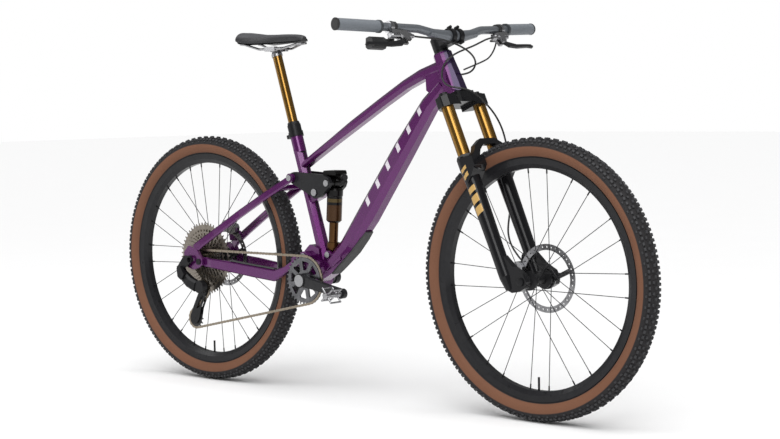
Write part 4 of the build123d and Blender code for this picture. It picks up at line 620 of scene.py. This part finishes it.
# Saddle stations from nose to tail: x, half width, top, lower edge, in millimetres.
SADDLE = [
    (-206, 8, 1023, 1014),
    (-214, 13.5, 1026.5, 1012),
    (-230, 17.5, 1030, 1010.5),
    (-258, 20.5, 1032, 1009.5),
    (-285, 23, 1033, 1009),
    (-312, 27, 1033, 1008),
    (-335, 34, 1033.5, 1007),
    (-360, 45, 1034.5, 1006.3),
    (-385, 55, 1036, 1006),
    (-405, 60, 1038.5, 1008),
    (-425, 62, 1040.5, 1011),
    (-437, 57, 1042, 1015),
    (-446, 49, 1042.5, 1020),
    (-452, 40, 1041.5, 1025),
]
SADDLE_STEPS = 12
CHANNEL_FRONT, CHANNEL_FRONT_FADE = -250, 60
CHANNEL_BACK, CHANNEL_BACK_FADE = -452, 30
CHANNEL_DEPTH = 3.2
CHANNEL_WIDTH = 0.16  # as a share of the half width
SIDE_ROUND, TOP_ROUND = 3.2, 0.62  # powers of the cross-section's curve
UNDERSIDE_SHARE = 0.93
UNDERSIDE_RISE, UNDERSIDE_CROWN = 2.2, 5.2


def bell(x):
    """Smooth hump of height 1 at 0."""
    return 2.718 ** (-(x ** 2))


def build_saddle(material):
    """Crowned pad with a shallow middle channel and rolled edges."""
    shares = [k / SADDLE_STEPS for k in range(-SADDLE_STEPS, SADDLE_STEPS + 1)]
    vertices = []
    for x, half, top, edge in SADDLE:
        front_fade = (CHANNEL_FRONT - x) / CHANNEL_FRONT_FADE
        back_fade = (x - CHANNEL_BACK) / CHANNEL_BACK_FADE
        channel = CHANNEL_DEPTH * max(0.0, min(1.0, front_fade, back_fade))
        for u in shares:
            y = half * sin(u * pi / 2)
            crown = (1 - abs(sin(u * pi / 2)) ** SIDE_ROUND) ** TOP_ROUND
            z = edge + (top - edge) * crown - channel * bell(u / CHANNEL_WIDTH)
            vertices.append(Vector((x, y, z)) * MM)
        for u in shares[-2:0:-1]:
            y = half * UNDERSIDE_SHARE * sin(u * pi / 2)
            z = edge + UNDERSIDE_RISE + UNDERSIDE_CROWN * (1 - abs(u) ** 2)
            vertices.append(Vector((x, y, z)) * MM)
    count = len(shares) * 2 - 2
    faces = []
    for number in range(len(SADDLE) - 1):
        for k in range(count):
            a = number * count + k
            b = number * count + (k + 1) % count
            faces.append((a, b, b + count, a + count))
    faces.append(tuple(range(count))[::-1])
    faces.append(tuple(range((len(SADDLE) - 1) * count, len(SADDLE) * count)))
    pad = make_piece("saddle_cushion", vertices, faces, material, "dropper", ("saddle_pad",))
    rounding = pad.modifiers.new("skin", "SUBSURF")
    rounding.levels = 1
    rounding.render_levels = 2


# Hose routes from the lever down to the frame or the fork, in millimetres.
REAR_BRAKE_ROUTE = [
    (347, -162.4, 1002.4), (349.9, -141.2, 1000.3), (366, -100, 997), (381, -62, 990), (392, -22, 976),
    (392, 18, 958), (382, 50, 937), (366, 60, 917), (349, 53, 905), (334, 38, 903),
]
DROPPER_ROUTE = [
    (324.4, 208.6, 991.9), (331, 196, 979), (343, 168, 961), (357, 134, 947), (367, 104, 940),
    (367, 80, 933), (358, 64, 926), (341, 46, 916),
]
FRONT_BRAKE_ROUTE = [
    (347, 162.4, 1002.4), (349.9, 141.2, 1000.3), (358.3, 100, 989.9), (364.9, 62, 979.6), (364.8, 24, 969.8),
    (355.2, -10, 956.9), (340.2, -31, 936.2), (331, -34, 907.1), (338.2, -36, 883), (364, -39, 871.3),
    (387.6, -26, 867.4), (399.8, -2, 861.8), (407.1, 24, 847.5), (414.8, 50, 824.7), (424.8, 76, 794.2),
    (433.6, 94, 756.5), (442.2, 99, 716.6), (453, 99, 666.8), (460.1, 98, 615.4), (462.7, 91, 564.2),
    (465.8, 77, 521.9), (473.6, 60, 483.9), (493.4, 48, 451), (519.1, 46.5, 421.9), (529.4, 46.5, 413.3),
]


def lay_hose(name, route, diameter, body, node, material):
    """One smooth hose that leaves its lever and goes back into the bike."""
    curve = bpy.data.curves.new(name, "CURVE")
    curve.dimensions = "3D"
    curve.bevel_depth = diameter / 2
    curve.bevel_resolution = 4
    curve.resolution_u = 10
    curve.use_fill_caps = True
    spline = curve.splines.new("NURBS")
    spline.points.add(len(route) - 1)
    for point, place in zip(spline.points, route):
        point.co = (*(Vector(place) * MM), 1)
    spline.order_u = 3
    spline.use_endpoint_u = True
    curve.materials.append(material)
    piece = bpy.data.objects.new(name, curve)
    bpy.context.scene.collection.objects.link(piece)
    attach(piece, body)
    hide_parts(node)


# ---------------------------------------------------------------- dress the object
purple = frame_paint()
purple_stays = stay_paint()
black_paint = gloss_black()
gold = hard_gold()
black_metal = satin(
    "black_metal", dark=(0.006, 0.006, 0.007), light=(0.014, 0.014, 0.015), low=0.28, high=0.42, metallic=0.2,
    Specular_IOR_Level=0.22,
)
silver = satin(
    "silver_metal", dark=(0.24, 0.24, 0.25), light=(0.42, 0.42, 0.43), low=0.22, high=0.34, metallic=1.0
)
steel = satin("steel", dark=(0.26, 0.26, 0.27), light=(0.45, 0.45, 0.46), low=0.25, high=0.4, metallic=1.0)
nickel = satin(
    "nickel_chain", dark=(0.20, 0.17, 0.13), light=(0.36, 0.31, 0.25), low=0.28, high=0.42, metallic=1.0
)
DISC_DARK, DISC_LIGHT = (0.20, 0.20, 0.21), (0.36, 0.36, 0.37)
FRONT_AXLE = (AXLES["front"], 0, AXLE_HEIGHT)
REAR_AXLE = (AXLES["rear"], 0, AXLE_HEIGHT)
cog_steel = turned_steel("cog_steel", (0.16, 0.14, 0.12), (0.32, 0.29, 0.25), centre=REAR_AXLE)
ring_steel = turned_steel("ring_steel", (0.07, 0.07, 0.075), (0.20, 0.20, 0.21), centre=BOTTOM_BRACKET)
front_disc = turned_steel("front_disc", DISC_DARK, DISC_LIGHT, centre=FRONT_AXLE)
rear_disc = turned_steel("rear_disc", DISC_DARK, DISC_LIGHT, centre=REAR_AXLE)
laminate = carbon("laminate", dark=(0.006, 0.006, 0.007), light=(0.018, 0.018, 0.020))
rim_laminate = carbon("rim_laminate", dark=(0.007, 0.007, 0.008), light=(0.016, 0.016, 0.018))
rubber = satin(
    "guard_rubber", dark=(0.030, 0.030, 0.032), light=(0.058, 0.057, 0.058), low=0.5, high=0.7, metallic=0.0,
    scale=200.0, Specular_IOR_Level=0.3,
)
pod_plastic = satin(
    "pod_plastic", dark=(0.009, 0.009, 0.010), light=(0.020, 0.020, 0.021), low=0.4, high=0.55, metallic=0.0,
    scale=260.0,
)
hose_jacket = satin(
    "hose_jacket", dark=(0.007, 0.007, 0.007), light=(0.015, 0.015, 0.015), low=0.35, high=0.45, metallic=0.0
)
slate_metal = satin(
    "slate_metal", dark=(0.125, 0.135, 0.150), light=(0.205, 0.220, 0.240), low=0.3, high=0.42, metallic=0.6
)

FINISHES = {
    "front_frame": purple,
    "chainstay": purple_stays,
    "seatstay": purple_stays,
    "fork_crown": black_paint,
    "fork_lowers": fork_paint(),
    "stanchions": gold,
    "dropper_post": gold,
    "handlebar": slate_metal,
    "grips": grip_rubber(),
    "shock_can": shock_body(),
    "shock_shaft": shaft_bronze(),
    "rocker": laminate,
    "crank_arms": laminate,
    "front_rim": rim_laminate,
    "rear_rim": rim_laminate,
    "chainring": ring_steel,
    "cassette": cog_steel,
    "front_rotor": front_disc,
    "rear_rotor": rear_disc,
    "frame_guards": rubber,
    "chainstay_guard": rubber,
    "fork_wipers": rubber,
    "bar_remotes": pod_plastic,
    "shift_paddle": pod_plastic,
    "saddle_base": pod_plastic,
    "guide_pulley": pod_plastic,
    "tension_pulley": pod_plastic,
    "brake_masters": silver,
    "front_caliper": silver,
    "rear_caliper": silver,
    "pedal_right": silver,
    "pedal_left": silver,
    "crank_axles": steel,
    "frame_pivot_bolts": steel,
    "rocker_bolts": steel,
    "saddle_rails": steel,
}
for name in nodes:
    paint_node(name, FINISHES.get(name, black_metal))

# Width of each node's rounded edges, in metres.
SOFTENED = {
    "front_frame": 0.0045,
    "chainstay": 0.0025,
    "seatstay": 0.0025,
    "fork_crown": 0.003,
    "fork_lowers": 0.002,
    "crank_arms": 0.0015,
    "rocker": 0.001,
    "stem": 0.0012,
    "stem_faceplate": 0.0008,
    "derailleur_body": 0.002,
    "derailleur_cage": 0.0004,
    "frame_guards": 0.001,
    "front_caliper": 0.001,
    "rear_caliper": 0.001,
    "bar_remotes": 0.001,
    "brake_masters": 0.0008,
    "brake_lever_left": 0.0012,
    "brake_lever_right": 0.0012,
    "dropper_paddle": 0.0008,
    "shift_paddle": 0.0006,
    "seat_clamp": 0.0006,
    "saddle_base": 0.0008,
}
for name, width in SOFTENED.items():
    soften(name, width)

build_tyres(tyre_casing(), tyre_knob())
build_chain(nickel)
build_saddle(saddle_cover())
BRAKE_HOSE, DROPPER_HOSE = 0.005, 0.0044
lay_hose("rear_brake_line", REAR_BRAKE_ROUTE, BRAKE_HOSE, "front_frame", "frame_hoses", hose_jacket)
lay_hose("dropper_line", DROPPER_ROUTE, DROPPER_HOSE, "front_frame", "frame_hoses", hose_jacket)
lay_hose(
    "front_brake_line", FRONT_BRAKE_ROUTE, BRAKE_HOSE, "steering", "front_brake_hose", hose_jacket
)


# ---------------------------------------------------------------- floor, light and camera
FLOOR_REACH = 30


def build_floor():
    """Wide white floor under the tyres."""
    shader = Shader("floor", (0.86, 0.86, 0.86), 0.6)
    shader.tint(shader.mix(shader.noise(3.0), (0.855, 0.855, 0.857), (0.87, 0.87, 0.87)))
    mesh = bpy.data.meshes.new("floor")
    corners = [(u * FLOOR_REACH, v * FLOOR_REACH, 0) for u, v in SQUARE]
    mesh.from_pydata(corners, [], [(0, 1, 2, 3)])
    mesh.materials.append(shader.material)
    floor = bpy.data.objects.new("floor", mesh)
    bpy.context.scene.collection.objects.link(floor)


def add_light(name, place, aim, size, power):
    """One rectangular area light, sized in metres and turned to its aim."""
    lamp = bpy.data.lights.new(name, "AREA")
    lamp.shape = "RECTANGLE"
    lamp.size, lamp.size_y = size
    lamp.energy = power
    light = bpy.data.objects.new(name, lamp)
    light.location = place
    light.rotation_mode = "QUATERNION"
    light.rotation_quaternion = (Vector(aim) - Vector(place)).to_track_quat("-Z", "Y")
    bpy.context.scene.collection.objects.link(light)


OVERHEAD_RAY = Vector((-0.25, 0.30, -1))


def add_overhead(strength, spread):
    """Broad light from nearly straight above, as even on the far floor as near the bike."""
    lamp = bpy.data.lights.new("overhead", "SUN")
    lamp.energy = strength
    lamp.angle = spread
    light = bpy.data.objects.new("overhead", lamp)
    light.rotation_mode = "QUATERNION"
    light.rotation_quaternion = OVERHEAD_RAY.to_track_quat("-Z", "Y")
    bpy.context.scene.collection.objects.link(light)


def build_world(backdrop, ambient):
    """White backdrop behind the bike, with a dimmer surround that lights it."""
    world = bpy.data.worlds.new("studio")
    bpy.context.scene.world = world
    world.use_nodes = True
    tree = world.node_tree
    background = tree.nodes["Background"]
    background.inputs["Color"].default_value = (1, 1, 1, 1)
    seen = tree.nodes.new("ShaderNodeLightPath").outputs["Is Camera Ray"]
    level = tree.nodes.new("ShaderNodeMapRange")
    level.inputs["To Min"].default_value = ambient
    level.inputs["To Max"].default_value = backdrop
    tree.links.new(seen, level.inputs["Value"])
    tree.links.new(level.outputs[0], background.inputs["Strength"])


AZIMUTH = radians(41.98)
ELEVATION = radians(3.849)
ROLL = radians(-0.950)
AIM = Vector((0.10856, 0, 0.50909))
DISTANCE = 5.0059
LENS = 83.66
SENSOR = 36


def build_camera():
    """The photographer's view, aimed at a point between the axles."""
    camera = bpy.data.cameras.new("camera")
    camera.lens = LENS
    camera.sensor_width = SENSOR
    holder = bpy.data.objects.new("camera", camera)
    back = Vector((sin(AZIMUTH) * cos(ELEVATION), -cos(AZIMUTH) * cos(ELEVATION), sin(ELEVATION)))
    right = Vector((cos(AZIMUTH), sin(AZIMUTH), 0))
    up = back.cross(right)
    across = right * cos(ROLL) + up * sin(ROLL)
    lift = up * cos(ROLL) - right * sin(ROLL)
    turn = Matrix((across, lift, back)).transposed().to_4x4()
    holder.matrix_world = Matrix.Translation(AIM + back * DISTANCE) @ turn
    bpy.context.scene.collection.objects.link(holder)
    bpy.context.scene.camera = holder


build_floor()
build_world(backdrop=1.0, ambient=0.22)
add_overhead(strength=3.45, spread=radians(70))
add_light("key", place=(2.6, -3.4, 2.6), aim=(0, 0, 0.5), size=(2.4, 1.6), power=60)
add_light("fill", place=(-3.5, -2.5, 1.8), aim=(0, 0, 0.5), size=(1.6, 1.6), power=26)
build_camera()

scene = bpy.context.scene
scene.view_settings.view_transform = "Standard"
scene.view_settings.look = "None"
scene.cycles.max_bounces = 8
